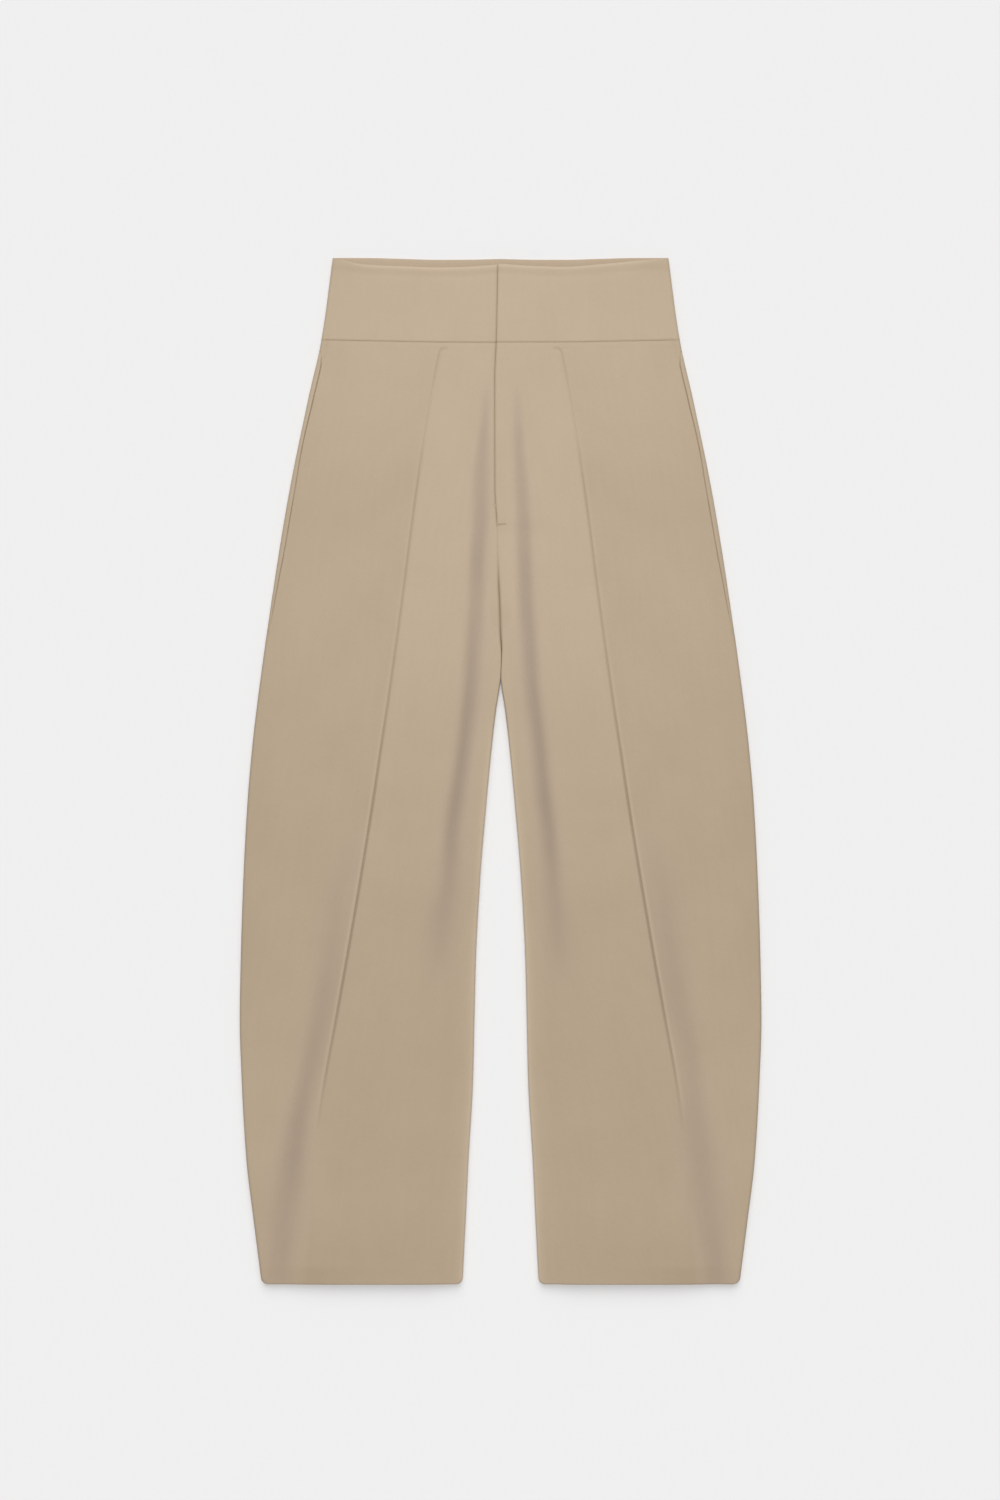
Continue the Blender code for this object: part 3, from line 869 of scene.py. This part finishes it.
def front_shades(side, down, x):
    """(crease, tone) of a front: painted shade in its seams and beside its edges, and painted
    highlights.
    """
    offset = side * x - dart_at(down)
    drawn = read(DART_LINE, "strength", down)
    past_dart = smooth((offset + 0.005) / 0.010)
    tone = mix(read(PAINTED_SHADES, "inner", down), read(PAINTED_SHADES, "outer", down), past_dart)
    tone += drawn * (shade_line(DART_SHADE, offset) + shade_line(DART_LIGHT, offset))
    tone += HOOK_SHADE * dart_hook(x, down)
    outer = side_x(down) - abs(x)
    tone += 0.04 * (1 - smooth(outer / 0.040)) * (1 - smooth((down - 0.72) / 0.15))
    tone += smooth((down - 0.33) / 0.06) * shade_line(SIDE_SEAM_SHADE, outer)
    tone += dip(down - 0.0955, 0.012) * shade_line(POCKET_START_SHADE, outer)
    tone += dip(down - 0.945, 0.050) * shade_line(CALF_LIGHT, abs(x))
    tone += smooth((down - 1.036) / 0.008) * shade_line(HEM_SHADE, abs(x))
    below = down - WAIST_SEAM
    tone += shade_line(WAIST_SEAM_SHADE, below) + shade_line(WAIST_ALLOWANCE_SHADE, below)
    fly_x = inseam_x(1, down, read(CENTRE_LINE, "x", down))
    tone += (1 - smooth((down - FLY_END + 0.002) / 0.005)) * shade_line(FLY_SHADE[side], x - fly_x)
    tone += read(CENTRE_SEAM, "strength", down) * dip(x - fly_x, CENTRE_SEAM_WIDTH)
    inner = abs(x) - read(SECTIONS, "inseam", down)
    below_knee = smooth((down - 0.46) / 0.08)
    tone += below_knee * (shade_line(INSEAM_LIGHT, inner) + shade_line(INSEAM_EDGE_LIGHT, inner))
    tone -= 0.05 * smooth((down - 0.62) / 0.12) * (1 - smooth(inner / 0.050))
    tone += dip(down - 0.300, 0.070) * shade_line(BELOW_FLY_LIGHT, x)
    return painted_crease_shade(x, down), max(0.0, tone)


front_columns = (
    [("inseam", t) for t in roll_steps(count=13)]
    + [("inner", share) for share in even(0.0, 1.0, 28)[1:-1]]
    + [("dart", -offset) for offset in reversed(DART_STATIONS)]
    + [("dart", offset) for offset in DART_STATIONS[1:]]
    + [("outer", share) for share in even(0.0, 1.0, 24)[1:-1]]
    + [("side", t) for t in reversed(roll_steps())]
)
leg_rows = (
    [WAIST_SEAM + below for below in (0.0, 0.0005, 0.0010, 0.0016, 0.0024, 0.0034, 0.0046)]
    + even(WAIST_SEAM + 0.0058, 0.120, 18)
    + even(0.120, FLY_END + 0.015, 42)[1:]
    + even(FLY_END + 0.015, 0.500, 56)[1:]
    + even(0.500, LENGTH - 0.008, 130)[1:]
    + even(LENGTH - 0.008, LENGTH - HEM_RADIUS, 6)[1:-1]
)
for side, hand in ((1, "left"), (-1, "right")):
    piece = lay_cloth(
        f"front_{hand}_cloth",
        leg_rows + hem_rows(),
        front_columns,
        lambda down, column, side=side: front_point(side, down, column),
        CLOTH,
        suiting,
        True,
        lambda down, column, x, side=side: front_shades(side, down, x),
    )
    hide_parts(f"front_{hand}")

# Backs of the legs
# The back panels lie on the surface and are cut to the same outline as the fronts. They meet at
# the plain centre back seam, and the side seams and inseams join them to the fronts. A few soft
# creases lift them off the surface, and their hems are turned in as the fronts' are.

BACK_CREASES = (
    soft_crease(
        (0.2950, 0.0400, 0.0000, 0.0080, 0.00),
        (0.3500, 0.0430, 0.0010, 0.0085, 0.40),
        (0.4400, 0.0520, 0.0015, 0.0095, 0.65),
        (0.5400, 0.0650, 0.0014, 0.0105, 0.60),
        (0.6400, 0.0790, 0.0009, 0.0130, 0.40),
        (0.7300, 0.0930, 0.0000, 0.0140, 0.00),
    ),
    soft_crease(
        (0.2600, -0.0340, 0.0000, 0.0070, 0.00),
        (0.3300, -0.0390, 0.0011, 0.0080, 0.50),
        (0.4100, -0.0470, 0.0016, 0.0090, 0.70),
        (0.5100, -0.0590, 0.0013, 0.0110, 0.60),
        (0.5900, -0.0720, 0.0008, 0.0130, 0.35),
        (0.6700, -0.0840, 0.0000, 0.0130, 0.00),
    ),
    soft_crease(
        (0.6100, 0.1560, 0.0000, 0.0120, 0.00),
        (0.7000, 0.1730, 0.0009, 0.0140, 0.35),
        (0.8200, 0.1900, 0.0015, 0.0120, 0.55),
        (0.9300, 0.2010, 0.0013, 0.0150, 0.50),
        (1.0573, 0.2120, 0.0006, 0.0140, 0.40),
    ),
    soft_crease(
        (0.6600, -0.1640, 0.0000, 0.0120, 0.00),
        (0.7700, -0.1830, 0.0013, 0.0120, 0.45),
        (0.8700, -0.1970, 0.0017, 0.0110, 0.65),
        (0.9700, -0.2080, 0.0011, 0.0150, 0.50),
        (1.0573, -0.2150, 0.0005, 0.0130, 0.35),
    ),
    soft_crease(
        (0.4700, 0.1240, 0.0000, 0.0100, 0.00),
        (0.5300, 0.1300, 0.0007, 0.0120, 0.25),
        (0.6100, 0.1390, 0.0005, 0.0150, 0.20),
        (0.6800, 0.1450, 0.0000, 0.0150, 0.00),
    ),
    soft_crease(
        (0.5600, -0.1150, 0.0000, 0.0100, 0.00),
        (0.6300, -0.1230, 0.0008, 0.0140, 0.30),
        (0.7000, -0.1280, 0.0004, 0.0160, 0.20),
        (0.7600, -0.1330, 0.0000, 0.0150, 0.00),
    ),
)

creases_on["back"] = BACK_CREASES
LEAST_RISE = 0.00002


def back_rise(x, down):
    """How far the back stands off the surface: nowhere but along its creases."""
    outer = side_x(down) - abs(x)
    inner = abs(x) - read(SECTIONS, "inseam", down)
    rise = crease_depth(x, down, "back")
    rise *= smooth((outer - 0.012) / 0.022) * smooth((inner - 0.010) / 0.020)
    return rise if rise > LEAST_RISE else 0.0


def back_point(side, down, share):
    """A point of a back's outer face, from its inner edge to its side."""
    centre = read(CENTRE_LINE, "x", down) if down > CROTCH else 0.0
    x = mix(inseam_x(side, down, centre), side * side_x(down), share)
    return x, panel_y(down, x), back_rise(x, down)


# Painted shade in the back's seams and at the top of its hem's turn.
BACK_SIDE_SHADE = Shade(0.30, 0.0, 0.0012)
BACK_INSEAM_SHADE = Shade(0.35, 0.0, 0.0012)
BACK_WAIST_SHADE = Shade(0.30, 0.0, 0.0010)
HEM_STITCH_SHADE = Shade(0.05, HEM_TURN, 0.0014)


def back_shades(down, x):
    """(crease, tone) of a back: painted shade as deep as the front's, and more of it in its seams.
    """
    across = smooth((abs(x) - 0.05) / 0.10)
    tone = mix(read(PAINTED_SHADES, "inner", down), read(PAINTED_SHADES, "outer", down), across)
    tone += shade_line(BACK_SIDE_SHADE, side_x(down) - abs(x))
    tone += shade_line(BACK_INSEAM_SHADE, abs(x) - read(SECTIONS, "inseam", down))
    tone += shade_line(BACK_WAIST_SHADE, down - WAIST_SEAM)
    tone += shade_line(HEM_STITCH_SHADE, LENGTH - down)
    return painted_crease_shade(x, down, "back"), tone


back_rows = (
    [WAIST_SEAM + below for below in (0.0, 0.0006, 0.0012, 0.0020, 0.0032)]
    + even(WAIST_SEAM + 0.0050, LENGTH - 0.008, 130)
    + even(LENGTH - 0.008, LENGTH - HEM_RADIUS, 6)[1:-1]
    + hem_rows()
)
edge_shares = [0.0, 0.004, 0.008, 0.013, 0.020]
far_shares = [1.0 - share for share in reversed(edge_shares)]
back_columns = edge_shares + even(0.03, 0.97, 64) + far_shares
BACK_TUCK = 0.0034
for side, hand in ((1, "left"), (-1, "right")):
    piece = lay_cloth(
        f"back_{hand}_cloth",
        back_rows,
        back_columns,
        lambda down, share, side=side: back_point(side, down, share),
        CLOTH,
        suiting,
        False,
        lambda down, share, x: back_shades(down, x),
        tuck=BACK_TUCK,
    )
    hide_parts(f"back_{hand}")

# Waistband
# A deep shaped band, cut double: two front halves that lap at the fly, and one back. The fronts'
# top edge dips below the back's, so that the inside of the back shows as a thin line above it,
# and it rolls softly where the cloth turns over to the inside.

BAND_CLOTH = 0.0018
BAND_LIP = 0.0004
BAND_UNDER = 0.034
BAND_TOP_RISE = 0.0006
BAND_SEAM_GAP = 0.0001
BAND_ROLL = 0.0028
BAND_ROLL_DROP = 0.55
HOLLOW_DEPTH = 0.00045
HOLLOW_AT = 0.0090
HOLLOW_WIDTH = 0.0040
# Painted shade on the back band, whose inside shows above the fronts' top edge.
BAND_BACK_PAINTED_SHADE = 0.235
WAIST_DIPS = table(
    "across left right back",
    (0.000, 0.0072, 0.0072, 0.0010),
    (0.035, 0.0094, 0.0099, 0.0018),
    (0.065, 0.0099, 0.0105, 0.0019),
    (0.103, 0.0072, 0.0092, 0.0009),
    (0.140, 0.0036, 0.0072, 0.0000),
    (0.163, 0.0016, 0.0026, 0.0000),
    (0.173, 0.0006, 0.0006, 0.0000),
)


def band_down(share, x, column):
    """Down on a waistband, from its top edge (share 0) to the waist seam (share 1)."""
    top = read(WAIST_DIPS, column, abs(x)) - BAND_TOP_RISE
    return mix(top, WAIST_SEAM - BAND_SEAM_GAP + seam_drop(x), share)


def top_roll(depth):
    """How far the band's face drops at its rolled top edge, and in the hollow just under it."""
    turned = max(0.0, BAND_ROLL - depth)
    drop = BAND_ROLL_DROP * (BAND_ROLL - math.sqrt(max(0.0, BAND_ROLL**2 - turned**2)))
    return drop + HOLLOW_DEPTH * dip(depth - HOLLOW_AT, HOLLOW_WIDTH)


def band_front_point(side, share, column):
    """A point of a front waistband's outer face."""
    zone, value = column
    straight_down = share * WAIST_SEAM
    fly_x = read(CENTRE_LINE, "x", straight_down) + SEAM_GAP / 2
    if zone == "side":
        inset, z = rolled_edge(value, BAND_LIP)
        x = side * (side_x(straight_down) - inset)
    else:
        if zone == "under":
            x = mix(fly_x + BAND_UNDER, fly_x, value)
        else:
            x = mix(fly_x, side * (side_x(straight_down) - EDGE_ROLL), value)
        z = front_height(x, straight_down)
        depth = share * (WAIST_SEAM - 0.008)
        z -= top_roll(depth) * (smooth((1.0 - value) / 0.06) if zone == "middle" else 1.0)
        z += seam_pucker(x, WAIST_SEAM * (1 - share), BAND_PUCKER)
        if side > 0:
            z += lap_lift(x, straight_down, BAND_LIFT, WAIST_SEAM)
    down = band_down(share, x, "left" if side > 0 else "right")
    return x, y_at(down), z


# Painted shade in and beside the seams, under and beside the top edge; painted highlight on its
# roll.
BAND_SEAM_SHADE = Shade(0.22, 0.0, 0.0009)
BAND_ALLOWANCE_SHADE = Shade(0.03, 0.0050, 0.0007)
BAND_TOP_LIGHT = Shade(-0.12, 0.0020, 0.0017)
BAND_HOLLOW_SHADE = Shade(0.04, HOLLOW_AT, HOLLOW_WIDTH)
BAND_SIDE_SHADE = Shade(0.07, 0.010, 0.009)
BAND_FLY_SHADE = {1: Shade(0.22, 0.0, 0.0009), -1: Shade(0.42, 0.0, 0.0013)}


def band_front_shades(side, share, x):
    """(crease, tone) of a front waistband: painted shade, darker towards the sides, and a painted
    highlight.
    """
    straight_down = share * WAIST_SEAM
    above = WAIST_SEAM - straight_down
    tone = read(PAINTED_SHADES, "inner", straight_down) + 0.03 * smooth((abs(x) - 0.09) / 0.06)
    tone += shade_line(BAND_SEAM_SHADE, above) + shade_line(BAND_ALLOWANCE_SHADE, above)
    at_side = smooth((abs(x) - 0.135) / 0.030)
    tone += (1 - at_side) * shade_line(BAND_TOP_LIGHT, straight_down)
    tone += shade_line(BAND_HOLLOW_SHADE, straight_down)
    tone += at_side * shade_line(BAND_SIDE_SHADE, straight_down)
    fly_x = read(CENTRE_LINE, "x", straight_down) + SEAM_GAP / 2
    tone += shade_line(BAND_FLY_SHADE[side], x - fly_x)
    return 0.0, max(0.0, tone)


def band_back_point(share, value):
    """A point of the back waistband's outer face, from its right end (-1) to its left end (1)."""
    x = value * side_x(share * WAIST_SEAM)
    return x, y_at(band_down(share, x, "back")), 0.0


above_seam = (0.0034, 0.0024, 0.0016, 0.0010, 0.0005, 0.0)
seam_rows = [1.0 - above / WAIST_SEAM for above in above_seam]
band_rows = even(0.0, 0.035, 8) + even(0.035, 0.25, 10)[1:] + even(0.25, 0.95, 16)[1:] + seam_rows
under = [1.0 - share for share in (1.0, 0.750, 0.500, 0.300, 0.150, 0.080, 0.045, 0.020)]
middle = [0.0, 0.004, 0.008, 0.013, 0.019, 0.028] + even(0.04, 1.0, 50)
for side, hand, width, area in ((1, "left", 0.196, 0.01466), (-1, "right", 0.224, 0.01664)):
    columns = [("middle", share) for share in middle]
    if side < 0:
        columns = [("under", share) for share in under] + columns
    piece = lay_cloth(
        f"waistband_front_{hand}_cloth",
        band_rows,
        columns + [("side", t) for t in reversed(roll_steps(BAND_LIP)[:-1])],
        lambda share, column, side=side: band_front_point(side, share, column),
        BAND_CLOTH,
        suiting,
        True,
        lambda share, column, x, side=side: band_front_shades(side, share, x),
    )
    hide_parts(f"waistband_front_{hand}")
piece = lay_cloth(
    "waistband_back_cloth",
    even(0.0, 1.0, 24),
    even(-1.0, 1.0, 90),
    band_back_point,
    BAND_CLOTH,
    suiting,
    False,
    lambda share, value, x: (0.0, BAND_BACK_PAINTED_SHADE),
)
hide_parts("waistband_back")

# Side pockets
# The pocket opening runs in the side seam. A facing of the suiting shows as a narrow strip where
# the front's edge stands back, and a bag of thin plain-weave pocketing lies inside on the back.

LINING_CLOTH = 0.0010
FACING_GAP = 0.0007
FACING_DEPTH = 0.026
FACING_INSET = 0.0003
FACING_COVER = 0.0016
FACING_COVER_RUN = 0.0008
# Where and how wide the line of painted shade lies on the facing, beside the front's edge.
POCKET_LINE_AT = -0.0005
POCKET_LINE_WIDTH = 0.0009
BAG_CLOTH = 0.0012
BAG_BOTTOM = 0.352
BAG_WIDTH = 0.140
BAG_INSET = 0.008


def facing_point(side, down, column):
    """A point of the pocket facing. It fills the edge out where the front's edge stands back."""
    zone, inset = column
    edge = rolled_edge(read(POCKET_EDGE, "opened", down))[0]
    shown = pocket_share(down) * (1 - smooth((inset - edge + FACING_COVER) / FACING_COVER_RUN))
    under = mix(CLOTH + FACING_GAP, FACING_INSET, shown)
    reach = EDGE_ROLL - under
    out = max(0.0, 1 - inset / EDGE_ROLL)
    up = (1 - out**ROLL_SQUARENESS) ** (1 / ROLL_SQUARENESS)
    x = side * (side_x(down) - under - min(inset, EDGE_ROLL) * reach / EDGE_ROLL)
    x -= side * max(0.0, inset - EDGE_ROLL)
    z = ROLL_TOP - under - reach * (1 - up)
    if zone == "lip":
        z = CLOTH + SEAM_GAP
    elif inset > EDGE_ROLL:
        z += front_height(x, down) - ROLL_TOP
    return x, panel_y(down, x), z


def facing_shades(down, inset):
    """(crease, tone) of a pocket facing: the painted shade beside the front's edge."""
    edge = rolled_edge(read(POCKET_EDGE, "opened", down))[0]
    shade = Shade(read(POCKET_EDGE, "line", down), POCKET_LINE_AT, POCKET_LINE_WIDTH)
    return 0.0, max(0.0, read(PAINTED_SHADES, "outer", down) + shade_line(shade, inset - edge))


def bag_point(side, down, share):
    """A point of the pocket bag, which lies on the back."""
    reach = 1 - ((down - POCKET_TOP) / (BAG_BOTTOM - POCKET_TOP)) ** 4
    depth = BAG_WIDTH * mix(0.25, 1.0, math.sqrt(max(0.0, reach)))
    x = side * (side_x(down) - BAG_INSET - depth * share)
    return x, panel_y(down, x), CLOTH + SEAM_GAP + back_rise(x, down)


pocketing = woven(
    "pocketing",
    colour=(0.58, 0.49, 0.37, 1.0),
    light_yarn=(0.66, 0.57, 0.45, 1.0),
    pitch=0.0007,
    twill=0.0,
    sheen=0.05,
    bump=0.5,
)
facing_rows = [down for down in leg_rows if down < POCKET_BOTTOM + 0.006]
facing_columns = (
    [("lip", 0.0)]
    + [("roll", inset) for inset in (0.0, 0.00004, 0.00015, 0.0004, 0.0008, 0.0014, 0.0021)]
    + [("roll", inset) for inset in even(0.0026, 0.0056, 10) + even(EDGE_ROLL, FACING_DEPTH, 8)]
)
for side, hand in ((1, "left"), (-1, "right")):
    piece = lay_cloth(
        f"pocket_facing_{hand}_cloth",
        facing_rows,
        facing_columns,
        lambda down, column, side=side: facing_point(side, down, column),
        LINING_CLOTH,
        suiting,
        True,
        lambda down, column, x: facing_shades(down, column[1]),
    )
    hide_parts(f"pocket_facing_{hand}")
    piece = lay_cloth(
        f"pocket_bag_{hand}_cloth",
        even(POCKET_TOP, BAG_BOTTOM, 40),
        even(0.0, 1.0, 16),
        lambda down, share, side=side: bag_point(side, down, share),
        BAG_CLOTH,
        pocketing,
        False,
    )
    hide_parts(f"pocket_bag_{hand}")

# Fly and waist fastening
# The zip closes under the left front's edge: a woven tape with a nylon coil, a metal slider at its
# top and a stop at its end. The underlap, a shield of suiting on the right front, lies behind it.
# A bartack closes the fly's end, and a flat metal hook and bar join the ends of the waistband.

FLY_PIECES_TOP = 0.0030
ZIP_OFFSET = 0.0070
ZIP_WIDTH = 0.0240
ZIP_CLOTH = 0.0010
UNDERLAP_WIDTH = 0.0480
UNDERLAP_END = 0.2960
COIL_OFFSET = ZIP_OFFSET + ZIP_WIDTH / 2
COIL_PITCH = 0.0016
COIL_HEIGHT = 0.0005
COIL_TURN = (0.0026, 0.00062, COIL_HEIGHT)
COIL_APART = 0.0009
COIL_LEAN = 0.10
COIL_MARGIN = 0.012
STOP = (0.0052, 0.0024, 0.0006)
STOP_MARGIN = 0.0105
SLIDER = (0.0050, 0.0066, 0.0014)
SLIDER_MARGIN = 0.0088
SLIDER_TAPER = 0.72
PULL = (0.0038, 0.0130, 0.0004)
PULL_MARGIN = 0.0190
PULL_RIM = 0.0010


def under_fly_point(down, offset, depth):
    """A point under the fly, offset from its edge and lower than the right front's face."""
    x = read(CENTRE_LINE, "x", down) + offset
    return x, panel_y(down, x), front_height(x, down) - depth


def fly_slope(down):
    """How far the fly's edge turns away from straight down, in radians."""
    step = 0.005
    across = read(CENTRE_LINE, "x", down + step) - read(CENTRE_LINE, "x", down - step)
    return math.atan2(across, 2 * step)


def small_blocks(name, places, size, rounding, material):
    """Equal small blocks with rounded edges, each at its (point, turn), joined in one mesh."""
    mesh = bmesh.new()
    for point, turn in places:
        place = Matrix.Translation(point) @ Matrix.Rotation(turn, 4, "Z")
        bmesh.ops.create_cube(mesh, size=1.0, matrix=place @ Matrix.Diagonal((*size, 1.0)))
    return finish_hard(name, mesh, rounding, material)


def finish_hard(name, mesh, rounding, material):
    """Rounds a small hard piece's edges, and lets it ride."""
    bmesh.ops.bevel(
        mesh,
        geom=mesh.edges[:],
        offset=rounding,
        offset_type="OFFSET",
        segments=1,
        profile=0.5,
        affect="EDGES",
        material=-1,
        clamp_overlap=True,
    )
    bmesh.ops.recalc_face_normals(mesh, faces=mesh.faces[:])
    data = bpy.data.meshes.new(name)
    mesh.to_mesh(data)
    mesh.free()
    data.materials.append(material)
    data.shade_smooth()
    data.set_sharp_from_angle(angle=math.radians(60))
    piece = bpy.data.objects.new(name, data)
    bpy.context.scene.collection.objects.link(piece)
    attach(piece, "root")
    return piece


def brushed(name, colour, metallic, roughness, grain, scratch):
    """A hard material with a fine grain along Y on the piece's own coordinates."""
    material = bpy.data.materials.new(name)
    material.use_nodes = True
    nodes = Nodes(material.node_tree)
    shader = material.node_tree.nodes["Principled BSDF"]
    place = nodes.add("ShaderNodeTexCoord").outputs["Object"]
    lines = nodes.add("ShaderNodeVectorMath", "MULTIPLY", i0=place, i1=grain).outputs[0]
    fine = nodes.noise(lines, 1.0, 3.0, 0.6)
    worn = nodes.ramp(nodes.noise(place, 420.0, 2.0), 0.4, 0.7, 0.0, 1.0)
    darker = tuple(0.72 * part for part in colour[:3]) + (1.0,)
    tint = nodes.colours(nodes.ramp(fine, 0.3, 0.7, 0.0, 1.0), colour, darker)
    lighter = tuple(min(1.0, 1.18 * part) for part in colour[:3]) + (1.0,)
    tint = nodes.colours(nodes.math("MULTIPLY", worn, 0.5), tint, lighter)
    nodes.put(shader.inputs["Base Color"], tint)
    worn_grain = nodes.ramp(fine, 0.3, 0.7, roughness - 0.07, roughness + 0.09)
    nodes.put(shader.inputs["Roughness"], worn_grain)
    relief = nodes.add("ShaderNodeBump", Height=fine, Strength=scratch, Distance=0.00005)
    nodes.put(shader.inputs["Normal"], relief.outputs[0])
    shader.inputs["Metallic"].default_value = metallic
    return material


nickel = brushed("satin_nickel", (0.62, 0.61, 0.59, 1.0), 1.0, 0.34, (9000.0, 500.0, 9000.0), 0.25)
nylon = brushed("zip_nylon", (0.44, 0.35, 0.25, 1.0), 0.0, 0.42, (1500.0, 1500.0, 1500.0), 0.3)
thread = brushed("sewing_thread", (0.47, 0.375, 0.27, 1.0), 0.0, 0.75, (7000.0, 2500.0, 7000.0), 0.8)
tape = woven(
    "zip_tape",
    colour=(0.42, 0.33, 0.23, 1.0),
    light_yarn=(0.50, 0.41, 0.30, 1.0),
    pitch=0.0006,
    twill=0.0,
    sheen=0.03,
    bump=0.5,
)

zip_end = ZIP_OFFSET + ZIP_WIDTH
# The underlap takes the painted crease shade and painted shade of the fronts' inner panels.
underlap = lay_cloth(
    "fly_underlap_cloth",
    even(WAIST_SEAM + FLY_PIECES_TOP, UNDERLAP_END, 70),
    even(zip_end - UNDERLAP_WIDTH, zip_end, 18),
    lambda down, offset: under_fly_point(down, offset, LAP_GAP + ZIP_CLOTH + SEAM_GAP),
    LINING_CLOTH,
    suiting,
    True,
    lambda down, offset, x: (painted_crease_shade(x, down), read(PAINTED_SHADES, "inner", down)),
)
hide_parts("fly_underlap")

zip_tape = lay_cloth(
    "fly_zip_tape",
    even(WAIST_SEAM + FLY_PIECES_TOP, FLY_END - 0.0020, 64),
    even(ZIP_OFFSET, zip_end, 10),
    lambda down, offset: under_fly_point(down, offset, LAP_GAP),
    ZIP_CLOTH,
    tape,
    True,
)
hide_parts("fly_zip")

coil_top = WAIST_SEAM + COIL_MARGIN
coil_places = []
for k in range(round((FLY_END - COIL_MARGIN - coil_top) / COIL_PITCH)):
    for row in (-1, 1):
        down = coil_top + (k + 0.25 * row) * COIL_PITCH
        point = under_fly_point(down, COIL_OFFSET + row * COIL_APART, LAP_GAP - COIL_HEIGHT / 2)
        coil_places.append((point, fly_slope(down) + row * COIL_LEAN))
small_blocks("zip_coil", coil_places, COIL_TURN, 0.00014, nylon)
stop_place = under_fly_point(FLY_END - STOP_MARGIN, COIL_OFFSET, LAP_GAP - STOP[2] / 2)
small_blocks("zip_stop", [(stop_place, 0.0)], STOP, 0.00015, nickel)

slider = bmesh.new()
slider_place = under_fly_point(WAIST_SEAM + SLIDER_MARGIN, COIL_OFFSET, LAP_GAP - SLIDER[2] / 2)
bmesh.ops.create_cube(slider, size=1.0, matrix=Matrix.Diagonal((*SLIDER, 1.0)))
for vertex in slider.verts:
    if vertex.co.y < 0:
        vertex.co.x *= SLIDER_TAPER
bmesh.ops.translate(slider, verts=slider.verts[:], vec=slider_place)
finish_hard("zip_slider", slider, 0.0004, nickel)

pull = bmesh.new()
pull_depth = LAP_GAP - COIL_HEIGHT - 0.0003
pull_place = under_fly_point(WAIST_SEAM + PULL_MARGIN, COIL_OFFSET, pull_depth)
bmesh.ops.create_cube(pull, size=1.0, matrix=Matrix.Diagonal((*PULL, 1.0)))
flats = [face for face in pull.faces if abs(face.normal.z) > 0.9]
bmesh.ops.inset_individual(pull, faces=flats, thickness=PULL_RIM)
rims = list({edge for face in flats for edge in face.edges})
bmesh.ops.delete(pull, geom=flats, context="FACES_ONLY")
bmesh.ops.bridge_loops(pull, edges=rims)
bmesh.ops.translate(pull, verts=pull.verts[:], vec=pull_place)
finish_hard("zip_pull_tab", pull, 0.00012, nickel)

BARTACK_STITCHES = 17
BARTACK_START = -0.0006
BARTACK_LENGTH = 0.0098
BARTACK_STITCH = (0.00046, 0.0019, 0.00034)
BARTACK_LEAN = 0.12
bartack_places = []
for k in range(BARTACK_STITCHES):
    across = BARTACK_START + BARTACK_LENGTH * k / (BARTACK_STITCHES - 1)
    down = FLY_END + 0.0016 - 0.0010 * math.sin(across * 180)
    x = read(CENTRE_LINE, "x", down) + across
    top = front_height(x, down) + lap_lift(x, down, PANEL_LIFT, FLY_LAP_END) + 0.00008
    bartack_places.append(((x, y_at(down), top), BARTACK_LEAN * (-1) ** k))
small_blocks("fly_bartack", bartack_places, BARTACK_STITCH, 0.00012, thread)

for node in ("waist_hook", "waist_bar"):
    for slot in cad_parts[node].material_slots:
        slot.material = nickel

# Floor, light and camera
# A plain pale floor under soft studio light: a wide softbox beyond the waist and an even fill.

PAPER_GREY = 0.80
BACKDROP_GREY = 0.86
FILL = 0.29
Lamp = namedtuple("Lamp", "name elevation spread strength")
LAMPS = (Lamp("top", 90.0, 24.0, 1.50), Lamp("key", 48.0, 54.0, 1.33))
CAMERA_PLACE = (-0.0006, 0.0217, 4.2995)

bpy.ops.mesh.primitive_plane_add(size=16.0, location=(0.0, 0.0, 0.0))
floor = bpy.context.object
floor.name = "floor"
paper = bpy.data.materials.new("floor_paper")
paper.use_nodes = True
surface = paper.node_tree.nodes["Principled BSDF"]
surface.inputs["Base Color"].default_value = (PAPER_GREY, PAPER_GREY, PAPER_GREY, 1.0)
surface.inputs["Roughness"].default_value = 0.9
floor.data.materials.append(paper)

world = bpy.data.worlds.new("studio")
world.use_nodes = True
room = Nodes(world.node_tree)
fill = world.node_tree.nodes["Background"]
fill.inputs["Strength"].default_value = FILL
fill.inputs["Color"].default_value = (1.0, 1.0, 1.0, 1.0)
backdrop_colour = (BACKDROP_GREY, BACKDROP_GREY, BACKDROP_GREY, 1.0)
backdrop = room.add("ShaderNodeBackground", Color=backdrop_colour, Strength=1.0)
seen = room.add("ShaderNodeLightPath").outputs["Is Camera Ray"]
either = room.add("ShaderNodeMixShader", i0=seen, i1=fill.outputs[0], i2=backdrop.outputs[0])
room.put(world.node_tree.nodes["World Output"].inputs["Surface"], either.outputs[0])
bpy.context.scene.world = world

for plan in LAMPS:
    light = bpy.data.lights.new(plan.name, "SUN")
    light.energy = plan.strength
    light.angle = math.radians(plan.spread)
    lamp = bpy.data.objects.new(plan.name, light)
    lamp.rotation_euler = (math.radians(plan.elevation - 90.0), 0.0, 0.0)
    bpy.context.scene.collection.objects.link(lamp)

camera_data = bpy.data.cameras.new("camera")
camera_data.lens = 100.0
camera = bpy.data.objects.new("camera", camera_data)
camera.location = CAMERA_PLACE
bpy.context.scene.collection.objects.link(camera)
bpy.context.scene.camera = camera
bpy.context.scene.view_settings.view_transform = "Standard"
